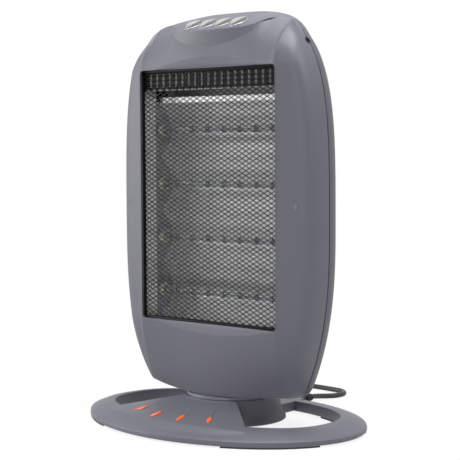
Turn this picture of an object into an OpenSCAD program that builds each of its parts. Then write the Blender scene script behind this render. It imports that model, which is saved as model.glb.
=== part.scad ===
// Halogen heater: four quartz lamps in an arched head that swings on a round hub over an oval
// ring base. Millimetres, +Z up, front towards -Y, origin on the floor under the base's middle.

/* [Head] */
// Width of the head at its widest
head_w = 261; // [250:1:270]
// Height of the top of the head above the floor
head_top = 431.5; // [425:0.5:440]
// Height of the head's lower edge above the floor, at its sides
head_low = 34; // [33:0.5:37]
// Distance from the grille's plane back to the middle of the swing axis
face_in = 44; // [40:1:48]
// How far back the flat rear panel stands from the middle of the base
rear_y = 52; // [48:1:60]
// Wall of the two moulded shells
wall = 2.5; // [2:0.1:3]

/* [Grille] */
// Width of the opening in front of the lamps
open_w = 184; // [170:1:186]
// Lower edge of the opening above the floor
open_low = 105.5; // [100:0.5:115]
// Upper edge of the opening above the floor
open_top = 371; // [360:0.5:375]
// Diamonds across the mesh
mesh_cols = 9; // [7:1:10]
// Diamonds up the mesh
mesh_rows = 16; // [12:1:18]
// Width of a strand of the mesh
strand = 1.4; // [1:0.1:2]

/* [Lamps] */
// Number of lamps
lamps = 4; // [3:1:4]
// Distance between lamps
lamp_pitch = 58; // [50:1:60]
// Height of the lowest lamp above the floor
lamp_low = 134; // [130:1:140]
// Diameter of a quartz tube
tube_d = 10; // [8:0.5:12]
// Length of a lamp over its ceramic ends
lamp_len = 192; // [188:1:193]

/* [Controls] */
// Slope of the control deck, in degrees
deck_tilt = 21.1; // [18:0.1:24]
// Distance between push buttons
button_pitch = 20.3; // [19:0.1:21]
// Length of a push button
button_len = 25.6; // [22:0.2:27]
// Width of a push button
button_w = 10.4; // [9:0.2:11]
// Travel of a push button
button_travel = 2.5; // [1.5:0.1:3]

/* [Base] */
// Width of the oval base
base_w = 330; // [320:1:340]
// Depth of the oval base
base_d = 239; // [230:1:250]
// Height of the base ring's inner edge above the floor, at its sides
ring_h = 14.4; // [13:0.2:16]
// Width of the base ring's band at its sides
ring_band = 32; // [30:1:34]
// Distance of the swing axis behind the middle of the base
axis_y = 15; // [12:1:18]
// Radius of the hub under the head
hub_r = 50; // [46:1:52]
// Height of the hub's top above the floor
hub_top = 27.8; // [26:0.2:29]

/* [Cord] */
// Diameter of the mains cord
cord_d = 6; // [5.5:0.5:7]

/* [Hidden] */

head_half = head_w / 2;
waist_z = 210;
arch_n = 3.35;
foot_n = 2.7;
foot_in = head_half - 98;
seam_y = 8.7;
top_seam_y = 30;
face_y = axis_y - face_in;
open_half = open_w / 2 - 0.5;
ridge_x = open_w / 2 + 1.2;
mid_z = 230;
deck_front = -27;

// Colours as the photograph shows them
grey = [0.42, 0.42, 0.46];
dark_grey = [0.35, 0.35, 0.38];
black = [0.09, 0.09, 0.1];
steel = [0.72, 0.73, 0.75];
beige = [0.66, 0.65, 0.66];
brass = [0.8, 0.66, 0.36];
orange = [1, 0.42, 0.08];

function mix(a, b, t) = a + (b - a) * t;
function unit(v) = v / norm(v);
function smooth(t) = let (c = min(1, max(0, t))) c * c * (3 - 2 * c);

// ---- Outline of the head from the front: an arch over sides that draw in to the foot ----
function side_x(z) = z > waist_z
    ? head_half * pow(1 - pow((z - waist_z) / (head_top - waist_z), arch_n), 1 / arch_n)
    : head_half - foot_in * pow((waist_z - z) / (waist_z - head_low), foot_n);
function arch_z(x) = waist_z
    + (head_top - waist_z) * pow(1 - pow(abs(x) / head_half, arch_n), 1 / arch_n);

// Each half of the outline has five runs: foot, lower corner, side, upper corner and top
foot_n_pts = 6;
low_n_pts = 4;
side_n_pts = 10;
high_n_pts = 4;
top_n_pts = 9;
low_at = foot_n_pts;
side_at = low_at + low_n_pts;
high_at = side_at + side_n_pts;
top_at = high_at + high_n_pts;
half_pts = top_at + top_n_pts;
corner_r = 4;
shoulder_z = 397;
ridge_top_z = 404;

// Depth of the ridge beside the grille, which falls back above and below it
function ridge_y(z) = z > open_top
    ? face_y + 27.5 * pow(min(1, (z - open_top) / 44), 1.35)
    : z < open_low ? face_y + 16.6 * pow((open_low - z) / 70, 1.7) : face_y;
// Depth of the front face's upper edge, bowed forward in the middle
function brow_y(x) = deck_front + 17 * pow(x / 75, 2);
function seam_back(z) = seam_y + (top_seam_y - seam_y) * smooth((z - 400) / 28);

function run(i, a, n) = (i - a) / n;
// Edge of the opening, at station i of a half outline
function open_pt(i) = let (r = corner_r)
    i <= low_at ? [mix(0, open_half - r, run(i, 0, foot_n_pts)), face_y, open_low]
    : i <= side_at ? let (a = 90 * run(i, low_at, low_n_pts))
        [open_half - r + r * sin(a), face_y, open_low + r - r * cos(a)]
    : i <= high_at ? [open_half, face_y,
        mix(open_low + r, open_top - r, run(i, side_at, side_n_pts))]
    : i <= top_at ? let (a = 90 * run(i, high_at, high_n_pts))
        [open_half - r + r * cos(a), face_y, open_top - r + r * sin(a)]
    : [(open_half - r) * cos(90 * run(i, top_at, top_n_pts)), face_y, open_top];
// Ridge where the front face turns into the cheek, or into the deck at the top
function brow_pt(x) = let (s = arch_z(x), flat = 1 - pow(max(0, abs(x) - 38) / 52, 1.4) * 0.86)
    [x, brow_y(x), s - (seam_back(s) - brow_y(x)) * tan(deck_tilt) * flat];
function ridge_pt(i) =
    i <= low_at ? let (x = mix(0, ridge_x, run(i, 0, foot_n_pts)), b = pow(x / ridge_x, 2))
        [x, face_y + 1 + 15.6 * b, head_low - 2.5 + 5.5 * b]
    : i <= side_at ? let (z = mix(head_low + 3, open_low, run(i, low_at, low_n_pts)))
        [ridge_x, ridge_y(z) + 0.8, z]
    : i <= high_at ? [ridge_x, face_y + 0.8, mix(open_low, open_top, run(i, side_at, side_n_pts))]
    : i <= top_at ? let (t = run(i, high_at, high_n_pts), z = mix(open_top, ridge_top_z, t))
        [mix(ridge_x, 91.2, t), ridge_y(z) + 0.8, z]
    : brow_pt(89 * cos(90 * run(i, top_at, top_n_pts)));
// Seam where the front shell meets the rear shell
function seam_pt(i) =
    i <= low_at ? let (x = mix(0, side_x(head_low), run(i, 0, foot_n_pts)))
        [x, seam_y, head_low - 2.5 + 2.5 * pow(x / side_x(head_low), 2)]
    : i <= side_at ? let (z = mix(head_low, open_low, run(i, low_at, low_n_pts)))
        [side_x(z), seam_y, z]
    : i <= high_at ? let (z = mix(open_low, open_top, run(i, side_at, side_n_pts)))
        [side_x(z), seam_y, z]
    : i <= top_at ? let (z = mix(open_top, shoulder_z, run(i, high_at, high_n_pts)))
        [side_x(z), seam_back(z), z]
    : let (x = side_x(shoulder_z) * cos(90 * run(i, top_at, top_n_pts)), z = arch_z(x))
        [x, seam_back(z), z];

// Draws a point in towards the middle of the outline
function inset(p, e) = [p[0] * (1 - e / head_half), p[1], mid_z + (p[2] - mid_z) * (1 - e / 200)];
// Station j of the whole outline, its left half mirrored
function fold(j) = j <= half_pts ? j : 2 * half_pts - j;
function flip(p, j) = j <= half_pts ? p : [-p[0], p[1], p[2]];

// Fullness of the cheek: round on the sides, nearly straight across the deck
function fullness(i) = i <= low_at ? 2
    : i <= high_at ? 3.08
    : i <= top_at ? mix(3.08, 3.4, run(i, high_at, high_n_pts))
    : mix(3.4, 1.02, smooth(run(i, top_at, top_n_pts) * 1.5));
cheek_steps = 6;
// One ring of the front shell: 0 opening edge, 1 middle of the face, 2 ridge, then the cheek
function front_pt(i, k, e) = let (g = open_pt(i), r = inset(ridge_pt(i), e * 0.5),
        s = inset(seam_pt(i), e))
    k == 0 ? [g[0], g[1] + e, g[2]]
    : k == 1 ? [mix(g[0], r[0], 0.5), mix(g[1], r[1], 0.3) + e, mix(g[2], r[2], 0.5)]
    : let (t = 90 * (k - 2) / cheek_steps, n = fullness(i), a = pow(sin(t), 2 / n),
        b = pow(cos(t), 2 / n))
        [mix(r[0], s[0], a), mix(s[1], r[1] + e, b), mix(r[2], s[2], a)];
function front_ring(k, e) = [for (j = [0:2 * half_pts - 1]) flip(front_pt(fold(j), k, e), j)];

// Rear shell: a shadow groove beside the seam, then a rounded dome to the flat rear panel
side_draw = 62;
foot_draw = 26;
dome_steps = 6;
function dome_pt(i, t, e) = let (s = seam_pt(i), d = 1 - cos(t), up = s[2] > mid_z,
        k = (up ? side_draw : mix(foot_draw, side_draw, smooth((s[2] - 40) / 120))) * d + e)
    [s[0] * (1 - (side_draw * d + e) / head_half), mix(s[1] + 1.8, rear_y - e, sin(t)),
        mid_z + (s[2] - mid_z) * (1 - k / 200)];
// Its inner ring is drawn in a little more at the sides, which keeps the rim's edges clear of the
// hollow's corners
function rear_pts(e, groove) = concat(
    groove ? [for (q = [[6, 0.1, 0.985], [1.3, 0.1, 1], [1.3, 1.4, 1]]) [for (j = [0:2 * half_pts - 1])
        let (p = inset(seam_pt(fold(j)), q[0])) flip([p[0] * q[2], p[1] + q[1], p[2]], j)]]
        : [[for (j = [0:2 * half_pts - 1]) let (p = inset(seam_pt(fold(j)), e))
            flip([p[0], p[1] + 0.1, p[2]], j)]],
    [for (m = [0:dome_steps]) [for (j = [0:2 * half_pts - 1])
        flip(dome_pt(fold(j), 90 * m / dome_steps, e), j)]]);

// Skin over a list of rings that closes on itself, like a frame
module frame_skin(rings) {
    n = len(rings[0]);
    m = len(rings);
    polyhedron(
        points = [for (r = rings) for (p = r) p],
        faces = [for (k = [0:m - 1]) for (j = [0:n - 1])
            let (a = k * n + j, b = k * n + (j + 1) % n, c = ((k + 1) % m) * n + (j + 1) % n,
                d = ((k + 1) % m) * n + j) each [[a, b, c], [a, c, d]]],
        convexity = 6);
}

// Skin over a list of rings with a flat face at each end
module capped_skin(rings) {
    n = len(rings[0]);
    m = len(rings);
    polyhedron(
        points = [for (r = rings) for (p = r) p],
        faces = concat([[for (j = [n - 1:-1:0]) j]], [[for (j = [0:n - 1]) (m - 1) * n + j]],
            [for (k = [0:m - 2]) for (j = [0:n - 1])
            let (a = k * n + j, b = k * n + (j + 1) % n, c = (k + 1) * n + (j + 1) % n,
                d = (k + 1) * n + j) each [[a, b, c], [a, c, d]]]),
        convexity = 6);
}

// ---- The control deck's own frame: x across, y up the slope, z out of it ----
deck_y = -10;
deck_z = arch_z(0) - (top_seam_y - deck_y) * tan(deck_tilt);
module on_deck() {
    translate([0, deck_y, deck_z]) rotate([deck_tilt, 0, 0]) children();
}
// A pointed oval, as the buttons and their bezels have
module leaf(len, w) {
    r = (len * len + w * w) / (4 * w);
    intersection() {
        translate([r - w / 2, 0]) circle(r, $fn = 90);
        translate([-r + w / 2, 0]) circle(r, $fn = 90);
    }
}
function button_x(n) = (n - 2.5) * button_pitch;
bezel_rim = 2.2;

side_hole_z = 395;
side_hole_y = seam_y - 1;
screw_seat_x = 98;
module at_side_hole(x) {
    for (s = [-1, 1]) translate([s * x, side_hole_y, side_hole_z]) rotate([0, s * 90, 0])
        children();
}
// Posts in the cheeks that the rear shell is screwed to: x, z and where each starts in the wall
post_places = [[96, 84, -24.8], [112, 230, -25], [101.8, 360, -26]];
post_r = 3.2;
post_y = 29;
module at_posts(y) {
    for (s = [-1, 1]) for (p = post_places) translate([s * p[0], y, p[1]]) rotate([-90, 0, 0])
        children();
}
// Round hole through the underside of the head for the collar's neck
module neck_hole() {
    translate([0, axis_y, 20]) cylinder(h = 25, r = neck_r + 0.1, $fn = 96);
}

module front_shell() {
    color(grey) difference() {
        union() {
            frame_skin(concat([for (k = [0:cheek_steps + 2]) front_ring(k, 0)],
                [for (k = [cheek_steps + 2:-1:0]) front_ring(k, wall)]));
            for (s = [-1, 1]) for (p = post_places)
                translate([s * p[0], p[2], p[1]]) rotate([-90, 0, 0])
                    cylinder(h = post_y - p[2], r = post_r, $fn = 24);
            // Half-round bosses behind the screws in the cheeks
            intersection() {
                at_side_hole(91) cylinder(h = 13, r = 6, $fn = 32);
                translate([-110, side_hole_y - 10, side_hole_z - 10])
                    cube([220, 10 + seam_y - side_hole_y - 0.1, 20]);
            }
        }
        on_deck() for (n = [1:4]) translate([button_x(n), 0, -8]) linear_extrude(16)
            leaf(button_len + 2 * bezel_rim + 2, button_w + 2 * bezel_rim + 0.3);
        at_side_hole(screw_seat_x) cylinder(h = 20, r = 4, $fn = 32);
        at_side_hole(90) cylinder(h = 20, r = 1.5, $fn = 24);
        neck_hole();
        at_posts(post_y - 14) cylinder(h = 30, r = 1.4, $fn = 24);
    }
}

// Rows of upright slots in the flat rear panel
slot_w = 5;
slot_pitch = 11;
module rear_slots() {
    for (row = [0:2]) for (n = [-5:5])
        translate([n * slot_pitch, rear_y - 8, 300 - row * 72]) rotate([-90, 0, 0])
            linear_extrude(20) union() {
                square([slot_w, 48], center = true);
                for (s = [-1, 1]) translate([0, s * 24]) circle(slot_w / 2, $fn = 20);
            }
}
module rear_shell() {
    color(dark_grey) difference() {
        capped_skin(rear_pts(0, true));
        // Hollow, with bosses left standing where the screws pull on the posts
        difference() {
            capped_skin(rear_hollow());
            at_posts(post_y + 0.1) cylinder(h = 60, r = 5.4, $fn = 32);
        }
        rear_slots();
        at_side_hole(screw_seat_x - 4) cylinder(h = 24, r = 4, $fn = 32);
        neck_hole();
        at_posts(seam_y) cylinder(h = 60, r = 1.7, $fn = 24);
        at_posts(post_y + 2.6) cylinder(h = 40, r = 4, $fn = 32);
    }
}
// The hollow starts a little before the rim so that the cut is clean
function rear_hollow() = let (inner = rear_pts(wall + 0.6, false))
    concat([[for (p = inner[0]) [p[0], p[1] - 3, p[2]]]], [for (k = [1:len(inner) - 1]) inner[k]]);

// ---- Grille and heat box ----
mesh_y = face_y + wall + 1.1;
module guard_mesh() {
    w = open_w + 2.2;
    h = open_top - open_low + 1.8;
    cw = w / mesh_cols;
    ch = h / mesh_rows;
    lean = atan2(ch, cw);
    color(black) translate([0, mesh_y + 1, (open_low + open_top) / 2]) rotate([90, 0, 0])
        linear_extrude(1) union() {
            intersection() {
                square([w, h], center = true);
                for (s = [-1, 1]) for (n = [-mesh_cols - mesh_rows:mesh_cols + mesh_rows])
                    translate([n * cw, 0]) rotate(s * lean)
                        square([w + h * 2, strand], center = true);
            }
            difference() {
                square([w, h], center = true);
                square([w - 6, h - 6], center = true);
            }
        }
}

module mesh_frame() {
    color(black) translate([0, mesh_y + 2.55, (open_low + open_top) / 2]) rotate([90, 0, 0])
        linear_extrude(1.5) difference() {
            square([open_w + 7, open_top - open_low + 2.6], center = true);
            square([open_w - 2, open_top - open_low - 2], center = true);
        }
}

box_x = 98;
box_front = mesh_y + 2.6;
box_back = 22;
lip_z = 351;
lip_y = -3;
trough_low = lamp_low - lamp_pitch / 2;
trough_top = trough_low + lamps * lamp_pitch;
module heat_box() {
    color(black) difference() {
        union() {
            // Side walls
            for (s = [-1, 1]) translate([s * box_x - 0.5, box_front, open_low - 4])
                cube([1, box_back - box_front, open_top - open_low + 6]);
            // Tabs that rest against the posts beside the box
            for (p = [post_places[1], post_places[2]]) for (s = [0, 1]) mirror([s, 0, 0])
                translate([box_x, 6, p[1] - 4]) cube([p[0] - post_r - 0.05 - box_x, 6, 8]);
            // Upper wall that slopes down to the reflector, and a lower one that slopes up
            translate([box_x, 0, 0]) rotate([90, 0, -90]) linear_extrude(2 * box_x)
                polygon([[-box_front, open_top + 1], [-lip_y, lip_z + 1.2], [-lip_y, lip_z],
                    [-box_front, open_top - 0.2]]);
            translate([box_x, 0, 0]) rotate([90, 0, -90]) linear_extrude(2 * box_x)
                polygon([[-box_front, open_low - 2.2], [-box_front, open_low - 1],
                    [-lip_y, trough_low - 1], [-lip_y, trough_low - 2.2]]);
        }
        // Upright slots that let the warm air out
        for (n = [-9:9]) translate([n * 9.2 - 2, box_front + 3, 340])
            cube([4, lip_y - box_front - 6, 40]);
        // Holes that the lamp ends reach into
        for (n = [0:lamps - 1]) translate([-120, lamp_y, lamp_low + n * lamp_pitch])
            rotate([0, 90, 0]) cylinder(h = 240, r = 7.5, $fn = 32);
    }
}

lamp_y = 1;
trough_deep = 19;
refl_x = 87.4;
function trough(n, off) = [for (k = [0:12]) let (t = k / 12, u = 2 * t - 1)
    [-(lip_y + 1 + off + trough_deep * (1 - u * u)), trough_low + (n + t) * lamp_pitch]];
module reflector() {
    front = [for (n = [0:lamps - 1]) for (k = [n == 0 ? 0 : 1:12]) trough(n, 0)[k]];
    back = [for (n = [lamps - 1:-1:0]) for (k = [12:-1:n == 0 ? 0 : 1]) trough(n, 0.8)[k]];
    color(steel) translate([refl_x, 0, 0]) rotate([90, 0, -90])
        linear_extrude(2 * refl_x) union() {
            polygon(concat(front, back));
            translate([-(lip_y + 1.8), trough_top - 0.4]) square([0.8, lip_z - trough_top - 1]);
        }
}

module rear_heat_shield() {
    color(steel) difference() {
        translate([-box_x - 0.5, box_back, open_low]) cube([2 * box_x + 1, 6, 250]);
        translate([-box_x + 0.5, box_back - 1, open_low + 1]) cube([2 * box_x - 1, 6, 248]);
        for (n = [-3:3]) translate([n * 24, box_back + 7, 300]) rotate([90, 0, 0])
            cylinder(h = 4, r = 4, $fn = 24);
    }
}

module per_lamp() {
    for (n = [0:lamps - 1]) translate([0, lamp_y, lamp_low + n * lamp_pitch])
        rotate([0, 90, 0]) children();
}
cap_len = 14;
module quartz_tubes() {
    color([0.9, 0.92, 0.95, 0.6]) per_lamp() difference() {
        cylinder(h = lamp_len - 2 * cap_len + 8, r = tube_d / 2, center = true, $fn = 40);
        cylinder(h = lamp_len, r = tube_d / 2 - 1, center = true, $fn = 40);
    }
}
module lamp_filaments() {
    color([0.75, 0.74, 0.72]) per_lamp() {
        cylinder(h = lamp_len - 2 * cap_len, r = 1.6, center = true, $fn = 20);
        for (n = [-3:3]) translate([0, 0, n * 22]) cylinder(h = 0.8, r = tube_d / 2 - 1.1,
            center = true, $fn = 24);
    }
}
module ceramic_ends() {
    color([0.9, 0.88, 0.84]) per_lamp() for (s = [-1, 1]) difference() {
        translate([0, 0, s * (lamp_len - cap_len) / 2]) cylinder(h = cap_len, r = 6.6,
            center = true, $fn = 36);
        translate([0, 0, s * (lamp_len / 2 - cap_len + 2)]) cylinder(h = 4.2, r = tube_d / 2 + 0.05,
            center = true, $fn = 36);
    }
}
module tube_brackets() {
    color(black) for (s = [-1, 1]) difference() {
        union() {
            translate([s * (refl_x + 0.6) - 0.6, lip_y - 6, trough_low - 0.6])
                cube([1.2, box_back - lip_y + 4, trough_top - trough_low + 1.6]);
            // Tabs that reach the side walls
            for (z = [trough_low, trough_top - 3])
                translate([s > 0 ? refl_x : -box_x + 0.5, lip_y + 8, z])
                    cube([box_x - 0.5 - refl_x, 10, 1.2]);
        }
        per_lamp() cylinder(h = 240, r = 6.7, center = true, $fn = 36);
    }
}

// ---- Controls ----
module button_bezels() {
    color(steel) on_deck() for (n = [1:4]) translate([button_x(n), 0, -3]) difference() {
        linear_extrude(4.4) leaf(button_len + 2 * bezel_rim + 1.6, button_w + 2 * bezel_rim);
        translate([0, 0, -1]) linear_extrude(7) leaf(button_len + 1.2, button_w + 0.8);
    }
}
module push_button(n) {
    color(beige) on_deck() translate([button_x(n), 0, 0]) union() {
        intersection() {
            translate([0, 0, -6]) linear_extrude(12) leaf(button_len, button_w);
            translate([0, 0, -46 + 4.6]) rotate([0, 90, 0]) cylinder(h = 30, r = 46,
                center = true, $fn = 180);
        }
        translate([0, 0, -12]) cylinder(h = 7, r = 2, $fn = 24);
    }
}
module button_1() push_button(1);
module button_2() push_button(2);
module button_3() push_button(3);
module button_4() push_button(4);
module switch_bank() {
    color(dark_grey) on_deck() difference() {
        union() {
            translate([-42, -10, -30]) cube([84, 20, 17]);
            for (s = [-1, 1]) translate([s * 40 - 1.5, -10, -13]) cube([3, 20, 9]);
        }
        for (n = [1:4]) translate([button_x(n), 0, -18]) cylinder(h = 10, r = 2.3, $fn = 24);
    }
}
// Inner face of the flat rear panel
back_in = rear_y - wall - 0.65;
module terminal_block() {
    color([0.85, 0.83, 0.78]) difference() {
        translate([-28, back_in - 14, 62]) cube([56, 14, 12]);
        for (n = [-2:2]) translate([n * 10, back_in - 7, 66]) cylinder(h = 12, r = 2.2, $fn = 24);
    }
}
module thermal_cutout() {
    color(steel) translate([30, box_back + 6, 330]) rotate([-90, 0, 0]) {
        cylinder(h = 7, r = 8, $fn = 36);
        translate([-11, -3, 0]) cube([22, 6, 1]);
    }
}

// ---- Tilt cut-out: a weight that hangs from a pin in an open bracket ----
tilt_x = -50;
tilt_y = 24;
tilt_z = 84;
module tilt_bracket() {
    color(dark_grey) translate([tilt_x, tilt_y, tilt_z]) union() {
        for (s = [-1, 1]) translate([-6, s * 7 - 0.75, -6]) cube([12, 1.5, 14]);
        translate([-6, -7.75, 8]) cube([12, back_in - tilt_y + 7.75, 2]);
        rotate([90, 0, 0]) cylinder(h = 16, r = 1.5, center = true, $fn = 24);
    }
}
module tilt_weight() {
    color(steel) translate([tilt_x, tilt_y, tilt_z]) rotate([90, 0, 0]) difference() {
        union() {
            cylinder(h = 8, r = 3.5, center = true, $fn = 32);
            translate([-1.5, -16, -2]) cube([3, 15, 4]);
            translate([0, -20, 0]) cylinder(h = 9, r = 7, center = true, $fn = 40);
        }
        cylinder(h = 20, r = 1.6, center = true, $fn = 24);
    }
}

module side_screws() {
    color(steel) at_side_hole(screw_seat_x) difference() {
        union() {
            cylinder(h = 3, r = 3.4, $fn = 32);
            translate([0, 0, -5.5]) cylinder(h = 5.6, r = 1.45, $fn = 24);
        }
        translate([-2.4, -0.5, 1.8]) cube([4.8, 1, 3]);
        translate([-0.5, -2.4, 1.8]) cube([1, 4.8, 3]);
    }
}
module shell_screws() {
    color(steel) at_posts(post_y - 12) difference() {
        union() {
            cylinder(h = 14.6, r = 1.35, $fn = 24);
            translate([0, 0, 14.6]) cylinder(h = 2.2, r = 3.2, $fn = 24);
        }
        translate([-2.2, -0.4, 15.6]) cube([4.4, 0.8, 3]);
    }
}

// ---- Turntable between head and base ----
tube_r = 14;
collar_low = hub_top + 0.4;
neck_r = 37;
module at_axis() {
    translate([0, axis_y, 0]) children();
}
module neck_collar() {
    color(grey) at_axis() rotate_extrude($fn = 120) polygon([[tube_r + 0.1, collar_low],
        [hub_r - 0.6, collar_low], [hub_r - 1, 31], [neck_r, 31], [neck_r, 38],
        [neck_r - 3, 38], [neck_r - 3, 33.4], [24, 33.4], [24, 44], [tube_r + 0.1, 44]]);
}
sleeve_r = tube_r - 2;
arm_low = 19.2;
arm_high = 21.6;
washer_low = 13.5;
clip_low = 11.6;
module pivot_tube() {
    color(dark_grey) at_axis() rotate_extrude($fn = 72) polygon([[9, clip_low - 0.6], [sleeve_r, clip_low - 0.6],
        [sleeve_r, 34], [tube_r, 34], [tube_r, 48], [9, 48]]);
}
pin_r = 2.5;
crank_r = 20.8;
motor_in = 36;
slot_room = 0.9;
slot_near = 38;
slot_far = motor_in + crank_r + pin_r + 1.4;
arm_len = motor_in + crank_r + 7;
module swing_arm() {
    color(steel) at_axis() translate([0, 0, arm_low]) linear_extrude(arm_high - arm_low)
        difference() {
            union() {
                circle(tube_r + 5, $fn = 60);
                translate([-7, -arm_len]) square([14, arm_len]);
            }
            circle(sleeve_r + 0.1, $fn = 60);
            // Slot that the crank's pin runs in
            translate([-pin_r - slot_room, -slot_far])
                square([2 * (pin_r + slot_room), slot_far - slot_near]);
        }
}
module pivot_washer() {
    color(steel) at_axis() rotate_extrude($fn = 60) polygon([[sleeve_r + 0.1, washer_low],
        [sleeve_r + 1.6, washer_low], [sleeve_r + 1.6, arm_low], [sleeve_r + 0.1, arm_low]]);
}
module pivot_clip() {
    color(steel) at_axis() translate([0, 0, clip_low]) linear_extrude(washer_low - clip_low)
        difference() {
            circle(sleeve_r + 1.6, $fn = 60);
            circle(sleeve_r + 0.1, $fn = 60);
            translate([-4, 0]) square([8, 30]);
        }
}

// ---- Base ring: an oval channel, open below ----
ring_steps = 96;
outer_n = 1.92;
inner_n = 2.4;
ring_tilt = 0.0017;
// Point of the ring at angle a, a given way in from its rim; the band is wider front and back,
// and its top stands a little higher in front
function oval(a, inn, z) = let (c = cos(a), s = sin(a), n = mix(outer_n, inner_n, inn / ring_band),
        y = (base_d / 2 - inn * 1.25) * sign(s) * pow(abs(s), 2 / n))
    [(base_w / 2 - inn) * sign(c) * pow(abs(c), 2 / n), y,
        z - max(0, z - pad_h) * y * ring_tilt];
pad_h = 1.6;
ring_wall = 2.6;
ring_section = [[0.8, pad_h], [0, 2.4], [0.2, 5.8], [8, 8.9], [16, 12], [24, 13.7],
    [ring_band - 1, ring_h], [ring_band, ring_h - 0.8], [ring_band, pad_h],
    [ring_band - ring_wall, pad_h], [ring_band - ring_wall, ring_h - 3.2], [17, 9.4], [4, 4.4],
    [3.6, pad_h]];

// Plate that fans out from the hub over the front of the ring; s runs from -1 to 1 across it
fan_hub = 43;
fan_crest = 34.5;
fan_rim = 39.5;
plate_t = 2.4;
plate_cols = 14;
function fan_fall(s) = 2.4 * pow(abs(s), 3);
function plate_hub(s) = let (a = -90 + fan_hub * s)
    [(hub_r + 1) * cos(a), axis_y + (hub_r + 1) * sin(a), hub_top - 0.4];
function plate_crest(s) = let (p = oval(-90 + fan_crest * s, ring_band, 0))
    [p[0], p[1], 19.5 - fan_fall(s)];
function plate_land(s, t, inn, z) = let (p = oval(-90 + mix(fan_crest, fan_rim, t) * s, inn, 0))
    [p[0], p[1], z - fan_fall(s)];
function plate_row(k) = [for (j = [0:plate_cols]) let (s = 2 * j / plate_cols - 1)
    k <= 4 ? mix(plate_hub(s), plate_crest(s), k / 4)
    : k == 5 ? plate_land(s, 0.35, 24, 18.1)
    : k == 6 ? plate_land(s, 0.7, 16, 16)
    : oval(-90 + fan_rim * s, 7, 8.65)];
// A sheet of the given thickness under a grid of points
module slab(top, t) {
    m = len(top);
    n = len(top[0]);
    low = [for (r = top) [for (p = r) [p[0], p[1], p[2] - t]]];
    o = m * n;
    polyhedron(points = concat([for (r = top) for (p = r) p], [for (r = low) for (p = r) p]),
        faces = concat(
        [for (k = [0:m - 2]) for (j = [0:n - 2]) let (a = k * n + j)
            each [[a, a + 1, a + n + 1], [a, a + n + 1, a + n]]],
        [for (k = [0:m - 2]) for (j = [0:n - 2]) let (a = o + k * n + j)
            each [[a, a + n + 1, a + 1], [a, a + n, a + n + 1]]],
        [for (j = [0:n - 2]) each [[j + 1, j, o + j], [j + 1, o + j, o + j + 1]]],
        [for (j = [0:n - 2]) let (a = (m - 1) * n + j)
            each [[a, a + 1, o + a + 1], [a, o + a + 1, o + a]]],
        [for (k = [0:m - 2]) let (a = k * n)
            each [[a, a + n, o + a + n], [a, o + a + n, o + a]]],
        [for (k = [0:m - 2]) let (a = k * n + n - 1)
            each [[a + n, a, o + a], [a + n, o + a, o + a + n]]]), convexity = 6);
}
// Leaning wall under one edge of the plate, from the hub out to the ring
skirt_lean = 7;
module plate_skirt() {
    a = plate_hub(1);
    b = plate_crest(1);
    out = unit([a[1] - b[1], b[0] - a[0], 0]);
    rows = [for (k = [[-0.04, 0.035], [1.04, 1.04]]) let (p = mix(a, b, k[0]) - [0, 0, 0.3],
            q = mix(a, b, k[1]), low = [q[0], q[1], pad_h] + out * skirt_lean)
        [p, low, low - out * plate_t, p - out * plate_t]];
    capped_skin(rows);
}
// Solids of the hub and of the arm behind it; both are open below
module hub_skin() {
    at_axis() rotate_extrude($fn = 120) polygon([[tube_r + 3, hub_top - 3],
        [hub_r - 3.4, hub_top - 3], [hub_r - 1.5, 16], [hub_r + 1, 7], [hub_r + 3.6, pad_h],
        [hub_r + 6.2, pad_h], [hub_r + 5.8, 4.5], [hub_r + 3.4, 8], [hub_r + 0.8, 17],
        [hub_r - 0.4, hub_top - 1], [hub_r - 1.4, hub_top], [tube_r + 3, hub_top]]);
}
arm_x = 34;
arm_top = ring_h - 2;
// Posts that the under cover is screwed to, as [radius, angle] about the swing axis
screw_posts = [[40, 30], [40, 150], [43, -22], [43, 202]];
module at_screw_posts(z) {
    at_axis() for (p = screw_posts) rotate([0, 0, p[1]]) translate([p[0], 0, z]) children();
}
cover_low = pad_h + 0.2;
cover_t = 2;
module base_moulding() {
    color(grey) difference() {
        union() {
            frame_skin([for (k = [len(ring_section) - 1:-1:0])
                [for (j = [0:ring_steps - 1])
                    oval(360 * j / ring_steps, ring_section[k][0], ring_section[k][1])]]);
            slab([for (k = [0:7]) plate_row(k)], plate_t);
            plate_skirt();
            mirror([1, 0, 0]) plate_skirt();
            difference() {
                hub_skin();
                // Room for the motor and the swing arm under the plate, and for the lead behind
                translate([-33, axis_y - hub_r - 12, 0])
                    cube([66, hub_r + 2, hub_top - 3]);
                translate([-arm_x + 2.6, axis_y + 20, 0])
                    cube([2 * arm_x - 5.2, 60, arm_top - 2.2]);
            }
            difference() {
                translate([-arm_x, axis_y + 30, pad_h]) cube([2 * arm_x, 52, arm_top - pad_h]);
                translate([-arm_x + 2.6, axis_y, 0]) cube([2 * arm_x - 5.2, 64, arm_top - 2.2]);
                at_axis() cylinder(h = 60, r = hub_r + 1.6, $fn = 96);
            }
            at_screw_posts(cover_low + cover_t)
                cylinder(h = hub_top - 2 - cover_low - cover_t, r = 3.5, $fn = 32);
        }
        at_screw_posts(0) cylinder(h = 14, r = 1.3, $fn = 24);
        // Way through the ring for the cord's sleeve
        translate([gland_x, base_d / 2 + 5, cord_z]) rotate([90, 0, 0])
            cylinder(h = 60, r = 4.1, $fn = 32);
        for (n = [0:3]) inlay_place(n) translate([0, 0, -1.2]) linear_extrude(20)
            leaf(inlay_len + 0.2, inlay_w + 0.2);
    }
}

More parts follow.
